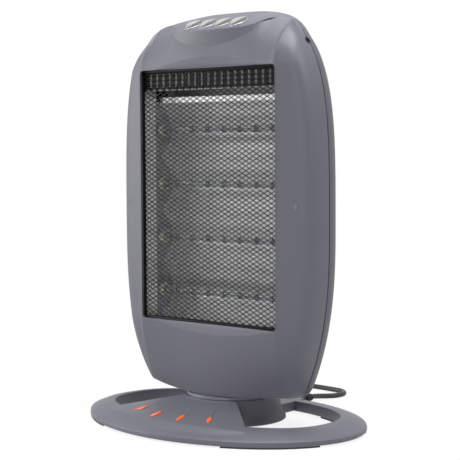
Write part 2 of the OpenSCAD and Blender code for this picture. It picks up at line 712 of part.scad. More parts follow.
inlay_len = 15;
inlay_w = 3.6;
inlay_at = [[-46.6, -78.4, 18.7], [-16.3, -87.5, 18.3], [16.3, -87.5, 18.3], [46.6, -78.4, 18.7]];
module inlay_place(n) {
    p = inlay_at[n];
    a = atan2(p[1] - axis_y, p[0]) + 90;
    translate(p) rotate([0, 0, a]) rotate([10.5, 0, 0]) children();
}
module flame_inlays() {
    color(orange) for (n = [0:3]) inlay_place(n) translate([0, 0, -1.2]) linear_extrude(1.9)
        leaf(inlay_len, inlay_w);
}
module foot_pads() {
    color(black) for (a = [40, 140, 220, 320]) pad_sector(a - 20, a + 20, 14);
}
module pad_sector(a, b, n) {
    rows = [for (k = [0:n]) let (t = mix(a, b, k / n))
        [oval(t, 0.9, pad_h), oval(t, ring_band - 0.2, pad_h), oval(t, ring_band - 0.2, 0),
            oval(t, 0.9, 0)]];
    capped_skin(rows);
}
module under_cover() {
    color(dark_grey) difference() {
        translate([0, 0, cover_low]) linear_extrude(cover_t) union() {
            translate([0, axis_y]) circle(hub_r + 1.5, $fn = 96);
            translate([-30, -72]) square([60, 70]);
            translate([-30, axis_y + 20]) square([60, 36]);
        }
        at_screw_posts(0) {
            cylinder(h = 10, r = 1.6, $fn = 24);
            cylinder(h = cover_low + 1.1, r = 3.1, $fn = 32);
        }
    }
}
module base_screws() {
    color(steel) at_screw_posts(cover_low) difference() {
        union() {
            cylinder(h = 1.1, r = 2.8, $fn = 32);
            cylinder(h = 11, r = 1.25, $fn = 24);
        }
        translate([-2, -0.4, -1]) cube([4, 0.8, 1.6]);
    }
}

motor_y = axis_y - motor_in;
motor_r = 18;
motor_top = 13.8;
crank_low = 15.4;
crank_t = 3;
module swing_motor() {
    color(steel) translate([0, motor_y, 0]) union() {
        translate([0, 0, cover_low + cover_t])
            cylinder(h = motor_top - cover_low - cover_t, r = motor_r, $fn = 72);
        translate([0, 0, motor_top - 0.1]) cylinder(h = 1.3, r = 5, $fn = 36);
        translate([0, 0, motor_top]) cylinder(h = 4.4, r = 2, $fn = 24);
        for (s = [-1, 1]) translate([s * 20 - 5, -4, motor_top - 2]) cube([10, 8, 1.2]);
    }
}
module drive_crank() {
    color(black) translate([0, motor_y, 0]) difference() {
        union() {
            translate([0, 0, crank_low]) linear_extrude(crank_t) union() {
                circle(5.5, $fn = 40);
                translate([0, -crank_r]) circle(4, $fn = 40);
                translate([-3.5, -crank_r]) square([7, crank_r]);
            }
            translate([0, -crank_r, crank_low]) cylinder(h = 6.8, r = pin_r, $fn = 32);
        }
        translate([0, 0, crank_low - 1]) cylinder(h = 10, r = 2.05, $fn = 24);
    }
}
module pivot_bush() {
    color(beige) at_axis() rotate_extrude($fn = 72) polygon([[sleeve_r + 0.05, hub_top - 4.5],
        [tube_r + 6, hub_top - 4.5], [tube_r + 6, hub_top - 3], [tube_r + 2.95, hub_top - 3],
        [tube_r + 2.95, hub_top + 0.2], [sleeve_r + 0.05, hub_top + 0.2]]);
}

// ---- Cord ----
cord_z = 6;
gland_x = 15;
// Lead through the arm and the hub, then up the hollow pivot
lead_top = 47;
lead_route = [[gland_x, 110, cord_z], [gland_x, 96, cord_z], [gland_x, 82, 6.05], [15, 73, 6.7],
    [14, 62, 6.85], [9, 44, 7], [4, 30, 7.1], [1, 20, 8.5], [0, axis_y, 15], [0, axis_y, 26],
    [0, axis_y, 37], [0, axis_y, lead_top - 0.4]];
module inner_lead() {
    color(black) capped_skin(tube_rings([for (k = [0:24]) along(lead_route, k / 24)],
        cord_d / 2 - tube_sink, 10, false));
}
head_lead_route = [[0, axis_y, lead_top + 0.1], [0, axis_y, 53], [0, 19, 61], [0, 27, 67],
    [0, back_in - 14.05, 68]];
module head_lead() {
    color(black) capped_skin(tube_rings([for (k = [0:12]) along(head_lead_route, k / 12)],
        cord_d / 2 - tube_sink, 10, false));
}
module cord_gland() {
    r = cord_d / 2 + 0.05;
    color(black) translate([gland_x, 0, cord_z]) rotate([-90, 0, 0]) rotate_extrude($fn = 40)
        polygon([[r, 112], [4, 112], [4, 121.5], [5.8, 121.5], [5.6, 124], [4.4, 125.5],
            [3.8, 134], [r + 0.15, 134], [r, 120]]);
}
// The free stretch: straight out of the sleeve, down to the floor, then round behind the head
coil_at = [-105, 158];
coil_out = 43;
coil_z = cord_d / 2 + 1;
coil_end_y = coil_at[1] + coil_out;
cord_route = [[gland_x, 110, cord_z], [gland_x, 124, cord_z], [gland_x, 138, cord_z],
    [16, 150, 4.7], [19, 162, 3.4], [24, 174, 3.1], [23, 187, 3.1], [13, 197, 3.1],
    [-4, 200, 3.1], [-22, coil_end_y, 3.2], [-40, coil_end_y, 3.3], [-58, coil_end_y, 3.5],
    [-76, coil_end_y, 3.9], [-88, coil_end_y, coil_z], [coil_at[0] + cord_d, coil_end_y, coil_z]];
function along(route, t) = let (n = len(route) - 1, i = min(n - 1, floor(t * n)), f = t * n - i,
    p0 = route[max(0, i - 1)], p1 = route[i], p2 = route[i + 1], p3 = route[min(n, i + 2)])
    p1 * (1 - 3 * f * f + 2 * f * f * f) + p2 * (3 * f * f - 2 * f * f * f)
    + (p2 - p0) / 2 * (f - 2 * f * f + f * f * f) + (p3 - p1) / 2 * (f * f * f - f * f);
// Rings of a round tube along a list of points; flat says that it never stands upright
function tube_rings(pts, r, sides, flat = true) = [for (i = [0:len(pts) - 1]) let (
        d = unit(pts[min(len(pts) - 1, i + 1)] - pts[max(0, i - 1)]),
        sx = unit(cross(d, flat ? [0, 0, 1] : [1, 0, 0])), up = cross(sx, d))
    [for (j = [0:sides - 1]) let (a = 360 * (j + 0.5) / sides)
        pts[i] + r * (cos(a) * sx + sin(a) * up)]];
function path_len(pts) = let (d = [for (i = [1:len(pts) - 1]) norm(pts[i] - pts[i - 1])])
    d * [for (v = d) 1];
cord_rings = 42;
tube_sink = 0.05;
cord_pts = [for (k = [0:cord_rings]) along(cord_route, k / cord_rings)];
module mains_cord() {
    color(black) capped_skin(tube_rings(cord_pts, cord_d / 2 - tube_sink, 10));
}

// Coil: spirals in on the floor, climbs a layer in the half turn where it reverses, spirals
// out above, and runs on straight to the plug
coil_turns = 6;
coil_step = cord_d + 0.7;
coil_per_turn = 24;
tail_len = 44;
function coil_pt(t) = let (half = coil_turns / 2, w = half - abs(t - half),
        r = coil_out - coil_step * w, climb = smooth((t - half + 0.25) * 2), a = 90 + 360 * t)
    [coil_at[0] + r * cos(a), coil_at[1] + r * sin(a), coil_z + coil_step * climb];
coil_pts = concat([[coil_at[0] + cord_d, coil_end_y, coil_z]],
    [for (k = [0:coil_per_turn * coil_turns]) coil_pt(k / coil_per_turn)],
    [for (k = [1:4]) [coil_at[0] - tail_len * k / 4, coil_end_y, coil_z + coil_step]]);
// Least gap between stretches of the coil that lie a third of a turn or more apart
function coil_gap() = min([for (i = [0:len(coil_pts) - 10]) for (j = [i + 8:len(coil_pts) - 1])
    norm(coil_pts[i] - coil_pts[j])]) - cord_d;
echo(coil_gap = coil_gap(), cord_length = path_len(cord_pts) + path_len(coil_pts));
module cord_coil() {
    color(black) capped_skin(tube_rings(coil_pts, cord_d / 2 - tube_sink, 6));
}
// Band round the bundle of turns, on the side towards the heater
tie_w = 9;
tie_t = 0.8;
module cord_tie() {
    r0 = coil_out - coil_step * coil_turns / 2;
    inner = [r0 - 0.4, tie_t + 0.15, coil_out, coil_z + coil_step + cord_d / 2 + 0.3];
    color(dark_grey) translate([coil_at[0] - tie_w / 2, coil_at[1], 0]) rotate([90, 0, 90])
        linear_extrude(tie_w) difference() {
            translate([-inner[2] - tie_t, 0.1])
                square([inner[2] - inner[0] + 2 * tie_t, inner[3] + tie_t - 0.1]);
            translate([-inner[2], inner[1]])
                square([inner[2] - inner[0], inner[3] - inner[1]]);
        }
}

// ---- Plug, lying on its back with its pins up ----
plug_x = coil_at[0] - tail_len;
plug_z = coil_z + coil_step;
plug_w = 46;
plug_l = 44;
plug_h = 20.4;
pin_gap = 22.2;
sleeve_len = 14;
module plug_outline(w, l, r) {
    union() {
        translate([-w / 2 + r, 0]) square([w - 2 * r, l]);
        translate([-w / 2, r]) square([w, l - 2 * r]);
        for (x = [-1, 1]) for (y = [r, l - r]) translate([x * (w / 2 - r), y])
            circle(r, $fn = 40);
    }
}
module at_plug() {
    translate([plug_x, coil_end_y, 0]) rotate([0, 0, 90]) children();
}
// The two upper pins stand nearest the cord, the longer one behind them
module at_power_pins(z) {
    for (s = [-1, 1]) translate([s * pin_gap / 2, sleeve_len + 13, z]) children();
}
module plug_body() {
    color(black) at_plug() union() {
        translate([0, sleeve_len, 0.1]) linear_extrude(plug_h) plug_outline(plug_w, plug_l, 9);
        translate([0, sleeve_len + 3, 0.1 + plug_h - 0.1]) linear_extrude(1.6)
            plug_outline(plug_w - 8, plug_l - 6, 7);
        translate([0, 0, plug_z]) rotate([-90, 0, 0])
            cylinder(h = sleeve_len + 1, r1 = 4, r2 = 5.6, $fn = 36);
        at_power_pins(plug_h) translate([-3.2, -2, 0]) cube([6.4, 4, 11.5]);
    }
}
module plug_pins() {
    color(brass) at_plug() union() {
        at_power_pins(plug_h + 11.5) translate([-3.2, -2, 0.1]) cube([6.4, 4, 8.2]);
        translate([-2, sleeve_len + 13 + pin_gap - 4, plug_h + 1.7]) cube([4, 8, 22.7]);
    }
}

front_shell();
rear_shell();
guard_mesh();
mesh_frame();
heat_box();
reflector();
rear_heat_shield();
quartz_tubes();
lamp_filaments();
ceramic_ends();
tube_brackets();
button_bezels();
button_1();
button_2();
button_3();
button_4();
switch_bank();
terminal_block();
thermal_cutout();
tilt_bracket();
tilt_weight();
side_screws();
shell_screws();
head_lead();
neck_collar();
pivot_tube();
swing_arm();
pivot_washer();
pivot_clip();
base_moulding();
flame_inlays();
foot_pads();
under_cover();
base_screws();
swing_motor();
drive_crank();
pivot_bush();
inner_lead();
cord_gland();
mains_cord();
cord_coil();
cord_tie();
plug_body();
plug_pins();
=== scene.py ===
"""Halogen heater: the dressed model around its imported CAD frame. Metres; sizes are written in mm."""

from math import atan2, copysign, cos, pi, radians, sin, sqrt, tan

import bpy
from mathutils import Euler, Matrix, Vector


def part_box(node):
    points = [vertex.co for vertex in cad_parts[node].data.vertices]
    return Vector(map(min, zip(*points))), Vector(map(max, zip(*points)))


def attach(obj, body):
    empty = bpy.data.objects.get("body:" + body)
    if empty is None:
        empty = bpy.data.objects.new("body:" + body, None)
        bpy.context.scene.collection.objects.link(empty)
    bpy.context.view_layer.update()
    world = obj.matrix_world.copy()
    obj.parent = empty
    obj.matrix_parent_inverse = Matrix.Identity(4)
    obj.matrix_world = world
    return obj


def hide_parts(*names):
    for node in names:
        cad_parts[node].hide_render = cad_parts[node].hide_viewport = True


bl_info = {
    "name": "Halogen heater",
    "version": (1, 0, 0),
    "blender": (4, 5, 0),
    "location": "View3D > Sidebar > Heater",
    "description": "Builds the outer forms, grille, lamps, controls and finishes of a halogen heater",
    "category": "Add Mesh",
}

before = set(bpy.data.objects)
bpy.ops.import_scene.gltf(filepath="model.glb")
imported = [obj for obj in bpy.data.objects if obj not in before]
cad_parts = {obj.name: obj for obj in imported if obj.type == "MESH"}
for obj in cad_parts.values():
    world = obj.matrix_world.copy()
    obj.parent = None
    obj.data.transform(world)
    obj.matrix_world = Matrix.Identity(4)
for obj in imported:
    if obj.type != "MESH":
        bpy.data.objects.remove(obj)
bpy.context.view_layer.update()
MM = 0.001


# ---- Sizes and colours a user may change ----
class HeaterSizes(bpy.types.PropertyGroup):
    """Sizes of the dressed pieces, in millimetres."""

    mesh_cols: bpy.props.IntProperty(
        name="Mesh columns", description="Diamonds across the guard mesh", default=20)
    mesh_rows: bpy.props.IntProperty(
        name="Mesh rows", description="Diamonds up the guard mesh", default=54)
    strand: bpy.props.FloatProperty(
        name="Strand", description="Width of a mesh strand in mm", default=0.84)
    crescent: bpy.props.FloatProperty(
        name="Crescent depth", description="Depth of the shallow crescents at the grille, in mm",
        default=1.5)
    scoop: bpy.props.FloatProperty(
        name="Scoop depth", description="Depth of the scoop under the deck's edge, in mm",
        default=3.0)
    cord_d: bpy.props.FloatProperty(
        name="Cord", description="Diameter of the mains cord in mm", default=5.9)


class HeaterColours(bpy.types.PropertyGroup):
    """Colours of the main finishes, as sRGB hex values."""

    shell: bpy.props.StringProperty(
        name="Shell", description="Blue-grey of the front shell and base", default="5A5A64")
    rear: bpy.props.StringProperty(
        name="Rear", description="Darker grey of the rear shell", default="505058")
    buttons: bpy.props.StringProperty(
        name="Buttons", description="Warm light grey of the push buttons", default="93918D")
    inlays: bpy.props.StringProperty(
        name="Inlays", description="Orange of the inlays in the base", default="FF6414")


# ---- Lines of the head corrected against the photograph, in mm ----
# Its top, how square its arch is, how far back the seam lies there, and the ridge beside the grille
HEAD_TOP, ARCH_N, TOP_SEAM_Y, RIDGE_X = 430.3, 3.6, 23.0, 92.5

# ---- Sizes that the CAD source fixes, in mm ----
HEAD_HALF, HEAD_LOW, MID_Z, WALL = 130.5, 34.0, 230.0, 2.5
WAIST_Z, FOOT_N, FOOT_IN = 210.0, 2.7, 32.5
SEAM_Y, FACE_Y, REAR_Y, SHOULDER_Z = 8.7, -29.0, 52.0, 397.0
OPEN_HALF, OPEN_LOW, OPEN_TOP, CORNER_R = 91.5, 105.5, 371.0, 4.0
DECK_TOP, DECK_BACK, DECK_Y, DECK_TILT = 431.5, 30.0, -10.0, 21.1
AXIS_Y, HUB_R, HUB_TOP, PAD_H = 15.0, 50.0, 27.8, 1.6
BASE_W, BASE_D, RING_BAND, RING_H = 330.0, 239.0, 32.0, 14.4
BUTTONS, BUTTON_PITCH, BUTTON_LEN, BUTTON_W = 4, 20.3, 25.6, 10.4
LAMP_LOW, LAMP_PITCH, LAMPS, LAMP_Y = 134.0, 58.0, 4, 1.0
LIP_Y, LIP_Z, TROUGH_DEEP, REFL_X = -3.0, 351.0, 19.0, 87.4
SCREW_Z, NECK_R = 395.0, 37.0

# Stations of half an outline where its runs start: foot, lower corner, side, upper corner, top
LOW_AT, SIDE_AT, HIGH_AT, TOP_AT, HALF_PTS = 6, 10, 20, 24, 33
# Points a station round the front and the rear shell
FRONT_FINE, REAR_FINE = 5, 4


def mix(a, b, t):
    """Blends from a to b."""
    return a + (b - a) * t


def smooth(t):
    """Eases from 0 to 1 with level ends."""
    c = min(1.0, max(0.0, t))
    return c * c * (3 - 2 * c)


def power(v, e):
    """A power of a value, and 0 below 0."""
    return max(0.0, v) ** e


def signed_power(v, e):
    """A power that keeps its value's sign, as the sides of a squared oval need."""
    return copysign(abs(v) ** e, v)


# ---- Lines of the head: the CAD source's formulas, with the corrected lines as above ----
def side_x(z):
    """Half the head's width at a height."""
    if z > WAIST_Z:
        return HEAD_HALF * power(1 - ((z - WAIST_Z) / (HEAD_TOP - WAIST_Z)) ** ARCH_N, 1 / ARCH_N)
    return HEAD_HALF - FOOT_IN * ((WAIST_Z - z) / (WAIST_Z - HEAD_LOW)) ** FOOT_N


def arch_z(x):
    """Height of the head's top at an x."""
    return WAIST_Z + (HEAD_TOP - WAIST_Z) * power(1 - (abs(x) / HEAD_HALF) ** ARCH_N, 1 / ARCH_N)


def ridge_y(z):
    """How far back the ridge lies beside the foot."""
    return FACE_Y + 16.6 * power((OPEN_LOW - z) / 70, 1.7)


def seam_back(z):
    """How far back the seam lies over the shoulder and top."""
    return SEAM_Y + (TOP_SEAM_Y - SEAM_Y) * smooth((z - 400) / 28)


def run(i, a, b):
    """Share of the way from station a to station b."""
    return (i - a) / (b - a)


def spline_pt(p0, p1, p2, p3, f):
    """A point between p1 and p2 of the smooth curve through four points."""
    return (p1 * (1 - 3 * f * f + 2 * f ** 3) + p2 * (3 * f * f - 2 * f ** 3)
            + (p2 - p0) / 2 * (f - 2 * f * f + f ** 3) + (p3 - p1) / 2 * (f ** 3 - f * f))


def open_pt(i):
    """Edge of the opening at station i of half the outline."""
    r = CORNER_R
    if i <= LOW_AT:
        return Vector((mix(0, OPEN_HALF - r, run(i, 0, LOW_AT)), FACE_Y, OPEN_LOW))
    if i <= SIDE_AT:
        a = pi / 2 * run(i, LOW_AT, SIDE_AT)
        return Vector((OPEN_HALF - r + r * sin(a), FACE_Y, OPEN_LOW + r - r * cos(a)))
    if i <= HIGH_AT:
        return Vector((OPEN_HALF, FACE_Y, mix(OPEN_LOW + r, OPEN_TOP - r, run(i, SIDE_AT, HIGH_AT))))
    if i <= TOP_AT:
        a = pi / 2 * run(i, HIGH_AT, TOP_AT)
        return Vector((OPEN_HALF - r + r * cos(a), FACE_Y, OPEN_TOP - r + r * sin(a)))
    return Vector(((OPEN_HALF - r) * cos(pi / 2 * run(i, TOP_AT, HALF_PTS)), FACE_Y, OPEN_TOP))


# Crest of the head from the opening's upper corner up the shoulder and along the deck's front
# edge to the middle, one point a station. They were set one by one and moved until they lay on the
# photograph's line; how far back each one lies is a guess
CREST = [Vector(p) for p in (
    (92.5, -28.2, 371), (92.0, -25.6, 381), (91.5, -21.8, 390.5), (91.3, -16.2, 399.5),
    (91.1, -9.2, 408), (90.4, -1.5, 414), (88.6, 4.0, 417.6), (79, 3.0, 419.8), (67.5, -1.8, 419.4),
    (60.3, -10.2, 415.6), (51.5, -17.6, 412.3), (37.5, -22.6, 410.2), (20, -25.8, 409.8),
    (0, -27, 409.5))]


def ridge_pt(i):
    """Ridge where the front face turns into the cheek, or into the deck at the top."""
    if i <= LOW_AT:
        x = mix(0, RIDGE_X, run(i, 0, LOW_AT))
        b = (x / RIDGE_X) ** 2
        return Vector((x, FACE_Y + 1 + 15.6 * b, HEAD_LOW - 2.5 + 5.5 * b))
    if i <= SIDE_AT:
        z = mix(HEAD_LOW + 3, OPEN_LOW, run(i, LOW_AT, SIDE_AT))
        return Vector((RIDGE_X, ridge_y(z) + 0.8, z))
    if i <= HIGH_AT:
        return Vector((RIDGE_X, FACE_Y + 0.8, mix(OPEN_LOW, OPEN_TOP, run(i, SIDE_AT, HIGH_AT))))
    k = min(int(i), HALF_PTS - 1) - HIGH_AT
    p = [CREST[n] for n in (max(0, k - 1), k, k + 1)]
    # Past the middle the crest runs on as its own mirror image
    ahead = CREST[k + 2] if k + 2 < len(CREST) else CREST[-2] * Vector((-1, 1, 1))
    return spline_pt(*p, ahead, i - HIGH_AT - k)


def seam_pt(i):
    """Seam where the front shell meets the rear shell."""
    if i <= LOW_AT:
        foot = side_x(HEAD_LOW)
        x = mix(0, foot, run(i, 0, LOW_AT))
        return Vector((x, SEAM_Y, HEAD_LOW - 2.5 + 2.5 * (x / foot) ** 2))
    if i <= TOP_AT:
        if i <= SIDE_AT:
            z = mix(HEAD_LOW, OPEN_LOW, run(i, LOW_AT, SIDE_AT))
        elif i <= HIGH_AT:
            z = mix(OPEN_LOW, OPEN_TOP, run(i, SIDE_AT, HIGH_AT))
        else:
            z = mix(OPEN_TOP, SHOULDER_Z, run(i, HIGH_AT, TOP_AT))
        return Vector((side_x(z), seam_back(z) if z > OPEN_TOP else SEAM_Y, z))
    x = side_x(SHOULDER_Z) * cos(pi / 2 * run(i, TOP_AT, HALF_PTS))
    z = arch_z(x)
    return Vector((x, seam_back(z), z))


def eased(line, i, reach=0.32):
    """A point of an outline, with its corner at the foot rounded."""
    t = (i - LOW_AT + reach) / (2 * reach)
    if not 0 < t < 1:
        return line(i)
    a, b, c = line(LOW_AT - reach), line(LOW_AT), line(LOW_AT + reach)
    return a * (1 - t) ** 2 + b * 2 * t * (1 - t) + c * t * t


def inset(p, e):
    """Draws a point in towards the middle of the outline."""
    return Vector((p.x * (1 - e / HEAD_HALF), p.y, MID_Z + (p.z - MID_Z) * (1 - e / 200)))


def fullness(i):
    """How full the cheek is: round on the sides, nearly straight across the deck."""
    foot, side, shoulder, deck = 2, 3.08, 3.4, 1.02
    if i <= HIGH_AT:
        return mix(foot, side, smooth((i - LOW_AT + 1) / 2))
    if i <= TOP_AT:
        return mix(side, shoulder, run(i, HIGH_AT, TOP_AT))
    return mix(shoulder, deck, smooth(run(i, TOP_AT, HALF_PTS) * 1.2))


def stations(per_unit):
    """Station and side of every point round the whole outline."""
    n = HALF_PTS * per_unit
    up = [(j / per_unit, 1) for j in range(n)]
    down = [((2 * n - j) / per_unit, -1) for j in range(n, 2 * n)]
    return up + down


# ---- Making and shaping pieces ----
def clear():
    bpy.ops.object.select_all(action="DESELECT")


def pick(obj):
    clear()
    obj.select_set(True)
    bpy.context.view_layer.objects.active = obj
    return obj


def newest(name):
    """Names the piece that was just made."""
    obj = bpy.context.object
    obj.name = obj.data.name = name
    return obj


def edited(obj, step, **settings):
    """Runs one step of edit mode on all of a mesh."""
    pick(obj)
    bpy.ops.object.mode_set(mode="EDIT")
    bpy.ops.mesh.select_all(action="SELECT")
    step(**settings)
    bpy.ops.object.mode_set(mode="OBJECT")
    return obj


def facing(obj, direction):
    """Turns all faces round if the one furthest in a direction looks the other way."""
    d = Vector(direction)
    far = max(obj.data.polygons, key=lambda f: f.center.dot(d))
    return edited(obj, bpy.ops.mesh.flip_normals) if far.normal.dot(d) < 0 else obj


def closed_up(obj):
    """Fills a piece's open ends with flat faces."""
    pick(obj)
    bpy.ops.object.mode_set(mode="EDIT")
    bpy.ops.mesh.select_mode(type="VERT")
    bpy.ops.mesh.select_all(action="DESELECT")
    bpy.ops.mesh.select_non_manifold(extend=False)
    bpy.ops.mesh.fill_holes(sides=0)
    bpy.ops.object.mode_set(mode="OBJECT")
    return obj


def loft(name, rows, closed=True, caps=False, out=None):
    """A grid whose cross lines are moved onto rows of points in mm.

    closed joins its two sides, caps fills its ends, and out is a way that its faces look.
    """
    clear()
    cols = len(rows[0]) if closed else len(rows[0]) - 1
    bpy.ops.mesh.primitive_grid_add(x_subdivisions=cols, y_subdivisions=len(rows) - 1, size=1)
    obj = newest(name)
    for v in obj.data.vertices:
        j, k = round((v.co.x + 0.5) * cols), round((v.co.y + 0.5) * (len(rows) - 1))
        v.co = Vector(rows[k][j % len(rows[0])]) * MM
    edited(obj, bpy.ops.mesh.remove_doubles, threshold=1e-6)
    if caps:
        closed_up(obj)
    if out is not None:
        return facing(obj, out)
    return edited(obj, bpy.ops.mesh.normals_make_consistent, inside=False)


def shaped(obj, kind, **settings):
    """Adds a modifier and applies it."""
    pick(obj)
    modifier = obj.modifiers.new(kind, kind)
    for key, value in settings.items():
        setattr(modifier, key, value)
    bpy.ops.object.modifier_apply(modifier=modifier.name)
    return obj


def carved(obj, cutter, operation="DIFFERENCE"):
    """Cuts one piece with another, or joins or crosses them, and removes the other."""
    shaped(obj, "BOOLEAN", operation=operation, solver="MANIFOLD", object=cutter)
    bpy.data.objects.remove(cutter)
    return obj


def joined(objs, name):
    """Makes several pieces one."""
    pick(objs[0])
    for o in objs[1:]:
        o.select_set(True)
    if len(objs) > 1:
        bpy.ops.object.join()
    return newest(name)


def softened(obj, angle=32, weighted=True):
    """Smooth shading that keeps the real edges, with flat faces shaded flat."""
    pick(obj)
    bpy.ops.object.shade_smooth_by_angle(angle=radians(angle))
    if weighted:
        shaped(obj, "WEIGHTED_NORMAL", keep_sharp=True, weight=80)
    return obj


def rounded(obj, edge, segments=2):
    """Rounds a piece's sharp edges, by a radius in mm."""
    return shaped(obj, "BEVEL", width=edge * MM, segments=segments, limit_method="ANGLE",
                  angle_limit=radians(50))


def tube(name, radius, length, at, turn=(0, 0, 0), sides=48, edge=0.0):
    """A cylinder along its own Z from at, with rounded edges; sizes in mm, angles in degrees."""
    clear()
    spot = Vector(at) + Euler([radians(a) for a in turn]).to_matrix() @ Vector((0, 0, length / 2))
    bpy.ops.mesh.primitive_cylinder_add(
        vertices=sides, radius=radius * MM, depth=length * MM, location=spot * MM,
        rotation=[radians(a) for a in turn])
    obj = newest(name)
    bpy.ops.object.transform_apply(location=True, rotation=True, scale=True)
    return rounded(obj, edge) if edge else obj


def block(name, low, high, edge=0.0, segments=2):
    """A box between two corners in mm, with rounded edges."""
    clear()
    low, high = Vector(low), Vector(high)
    bpy.ops.mesh.primitive_cube_add(size=1, location=(low + high) / 2 * MM)
    obj = newest(name)
    obj.scale = (high - low) * MM
    bpy.ops.object.transform_apply(location=True, rotation=True, scale=True)
    return rounded(obj, edge, segments) if edge else obj


def moved(obj, matrix):
    """Applies a matrix, whose shift is in mm, to a piece's mesh."""
    m = matrix.copy()
    m.translation *= MM
    obj.data.transform(m)
    return obj


def copied(obj, name, matrix=Matrix.Identity(4)):
    """A second piece of the same shape, moved by a matrix."""
    twin = obj.copy()
    twin.data = obj.data.copy()
    twin.name = twin.data.name = name
    bpy.context.collection.objects.link(twin)
    return moved(twin, matrix)


def deck_frame():
    """The control deck's own frame: x across, y up the slope, z out of it."""
    deck_z = DECK_TOP - (DECK_BACK - DECK_Y) * tan(radians(DECK_TILT))
    return Matrix.Translation((0, DECK_Y, deck_z)) @ Matrix.Rotation(radians(DECK_TILT), 4, "X")


def button_spots():
    """Frames of the buttons, from left to right."""
    middle = (BUTTONS - 1) / 2
    return [deck_frame() @ Matrix.Translation(((n - middle) * BUTTON_PITCH, 0, 0))
            for n in range(BUTTONS)]


def leaf(length, width, steps=20):
    """Points round a pointed oval, in its own plane."""
    r = (length * length + width * width) / (4 * width)
    half = atan2(length / 2, r - width / 2)
    angles = [mix(-half, half, k / steps) for k in range(steps + 1)]
    right = [(r * cos(a) - (r - width / 2), r * sin(a)) for a in angles]
    return right + [(-x, -y) for x, y in right[1:-1]]


def side_posts():
    """Places of the posts that the rear shell is screwed to: x and z."""
    return [(s * x, z) for s in (-1, 1) for x, z in ((96, 84), (112, 230), (101.8, 360))]


def post_tubes(name, radius, length, start):
    """Tubes along the posts, backwards from a start in y."""
    return joined([tube(name, radius, length, (x, start, z), (-90, 0, 0)) for x, z in side_posts()],
                  name)


def cheek_holes():
    """Cutter for the round holes in the cheeks where screws sit."""
    start, radius, length = 92, 4, 45
    return joined([tube("cheek_cut", radius, length, (s * start, SEAM_Y - 1, SCREW_Z),
                        (0, s * 90, 0)) for s in (-1, 1)], "cheek_cut")


def neck_cutter():
    """Cutter for the round hole in the foot that the neck comes through."""
    return tube("neck_cut", NECK_R + 0.1, 25, (0, AXIS_Y, 20), sides=120)


# ---- Materials ----
def linear(code):
    """A linear colour from an sRGB hex value."""
    values = [int(code[k:k + 2], 16) / 255 for k in (0, 2, 4)]
    return tuple(v / 12.92 if v <= 0.04045 else ((v + 0.055) / 1.055) ** 2.4 for v in values) + (1,)


def shade(code, factor):
    """The same hex colour made lighter or darker."""
    return "".join(f"{min(255, max(0, round(int(code[k:k + 2], 16) * factor))):02X}" for k in (0, 2, 4))


def add(tree, kind, values=None, links=None, **settings):
    """Adds a node with its settings, socket values and incoming links."""
    node = tree.nodes.new(kind)
    for key, value in settings.items():
        setattr(node, key, value)
    for key, value in (values or {}).items():
        node.inputs[key].default_value = value
    for key, source in (links or {}).items():
        tree.links.new(source, node.inputs[key])
    return node


def finish_of(name, colour, rough, grain=1.0, depth=0.02, mottle=0.05, vary=0.05, metallic=0.0,
              squeeze=(1, 1, 1), broad=45, worn=0.0, shader=None):
    """A surface with grain mm wide and depth mm deep, and broad clouds of colour and gloss.

    worn lightens the edges that hands and dusters rub; squeeze stretches the grain.
    """
    material = bpy.data.materials.new(name)
    material.use_nodes = True
    tree = material.node_tree
    tree.nodes.clear()
    place = add(tree, "ShaderNodeTexCoord").outputs["Object"]
    stretched = add(tree, "ShaderNodeMapping", {"Scale": squeeze}, {"Vector": place}).outputs[0]
    fine = add(tree, "ShaderNodeTexNoise", {"Scale": 1000 / grain, "Detail": 3.0, "Roughness": 0.6},
               {"Vector": stretched}).outputs["Fac"]
    clouds = add(tree, "ShaderNodeTexNoise", {"Scale": 1000 / broad, "Detail": 4.0},
                 {"Vector": place}).outputs["Fac"]
    speckle = add(tree, "ShaderNodeMath", {1: 0.35}, {0: fine}, operation="MULTIPLY").outputs[0]
    blend = add(tree, "ShaderNodeMath", {1: 0.65}, {0: clouds, 2: speckle},
                operation="MULTIPLY_ADD").outputs[0]
    tint = add(tree, "ShaderNodeMix", {6: linear(shade(colour, 1 - mottle)),
                                       7: linear(shade(colour, 1 + mottle))},
               {0: blend}, data_type="RGBA")
    surface = tint.outputs[2]
    if worn:
        point = add(tree, "ShaderNodeNewGeometry").outputs["Pointiness"]
        rub = add(tree, "ShaderNodeMapRange", {"From Min": 0.53, "From Max": 0.62, "To Max": worn},
                  {"Value": point}).outputs[0]
        surface = add(tree, "ShaderNodeMix", {7: linear(shade(colour, 1.5))}, {0: rub, 6: surface},
                      data_type="RGBA").outputs[2]
    gloss = add(tree, "ShaderNodeMapRange", {"To Min": rough - vary, "To Max": rough + vary},
                {"Value": blend}).outputs[0]
    bump = add(tree, "ShaderNodeBump", {"Strength": 0.6, "Distance": depth * MM},
               {"Height": fine}).outputs[0]
    principled = add(tree, "ShaderNodeBsdfPrincipled",
                     {"Metallic": metallic, **(shader or {})},
                     {"Base Color": surface, "Roughness": gloss, "Normal": bump})
    add(tree, "ShaderNodeOutputMaterial", None, {"Surface": principled.outputs[0]})
    return material


def dressed(obj, material, body, slot=None, *nodes):
    """Gives a piece its finish and its body, and hides the CAD nodes that it stands for; slot is not
    used.
    """
    obj.data.materials.clear()
    obj.data.materials.append(material)
    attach(obj, body)
    if nodes:
        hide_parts(*nodes)
    return obj


def sizes():
    return bpy.context.scene.heater_sizes


def colours():
    return bpy.context.scene.heater_colours


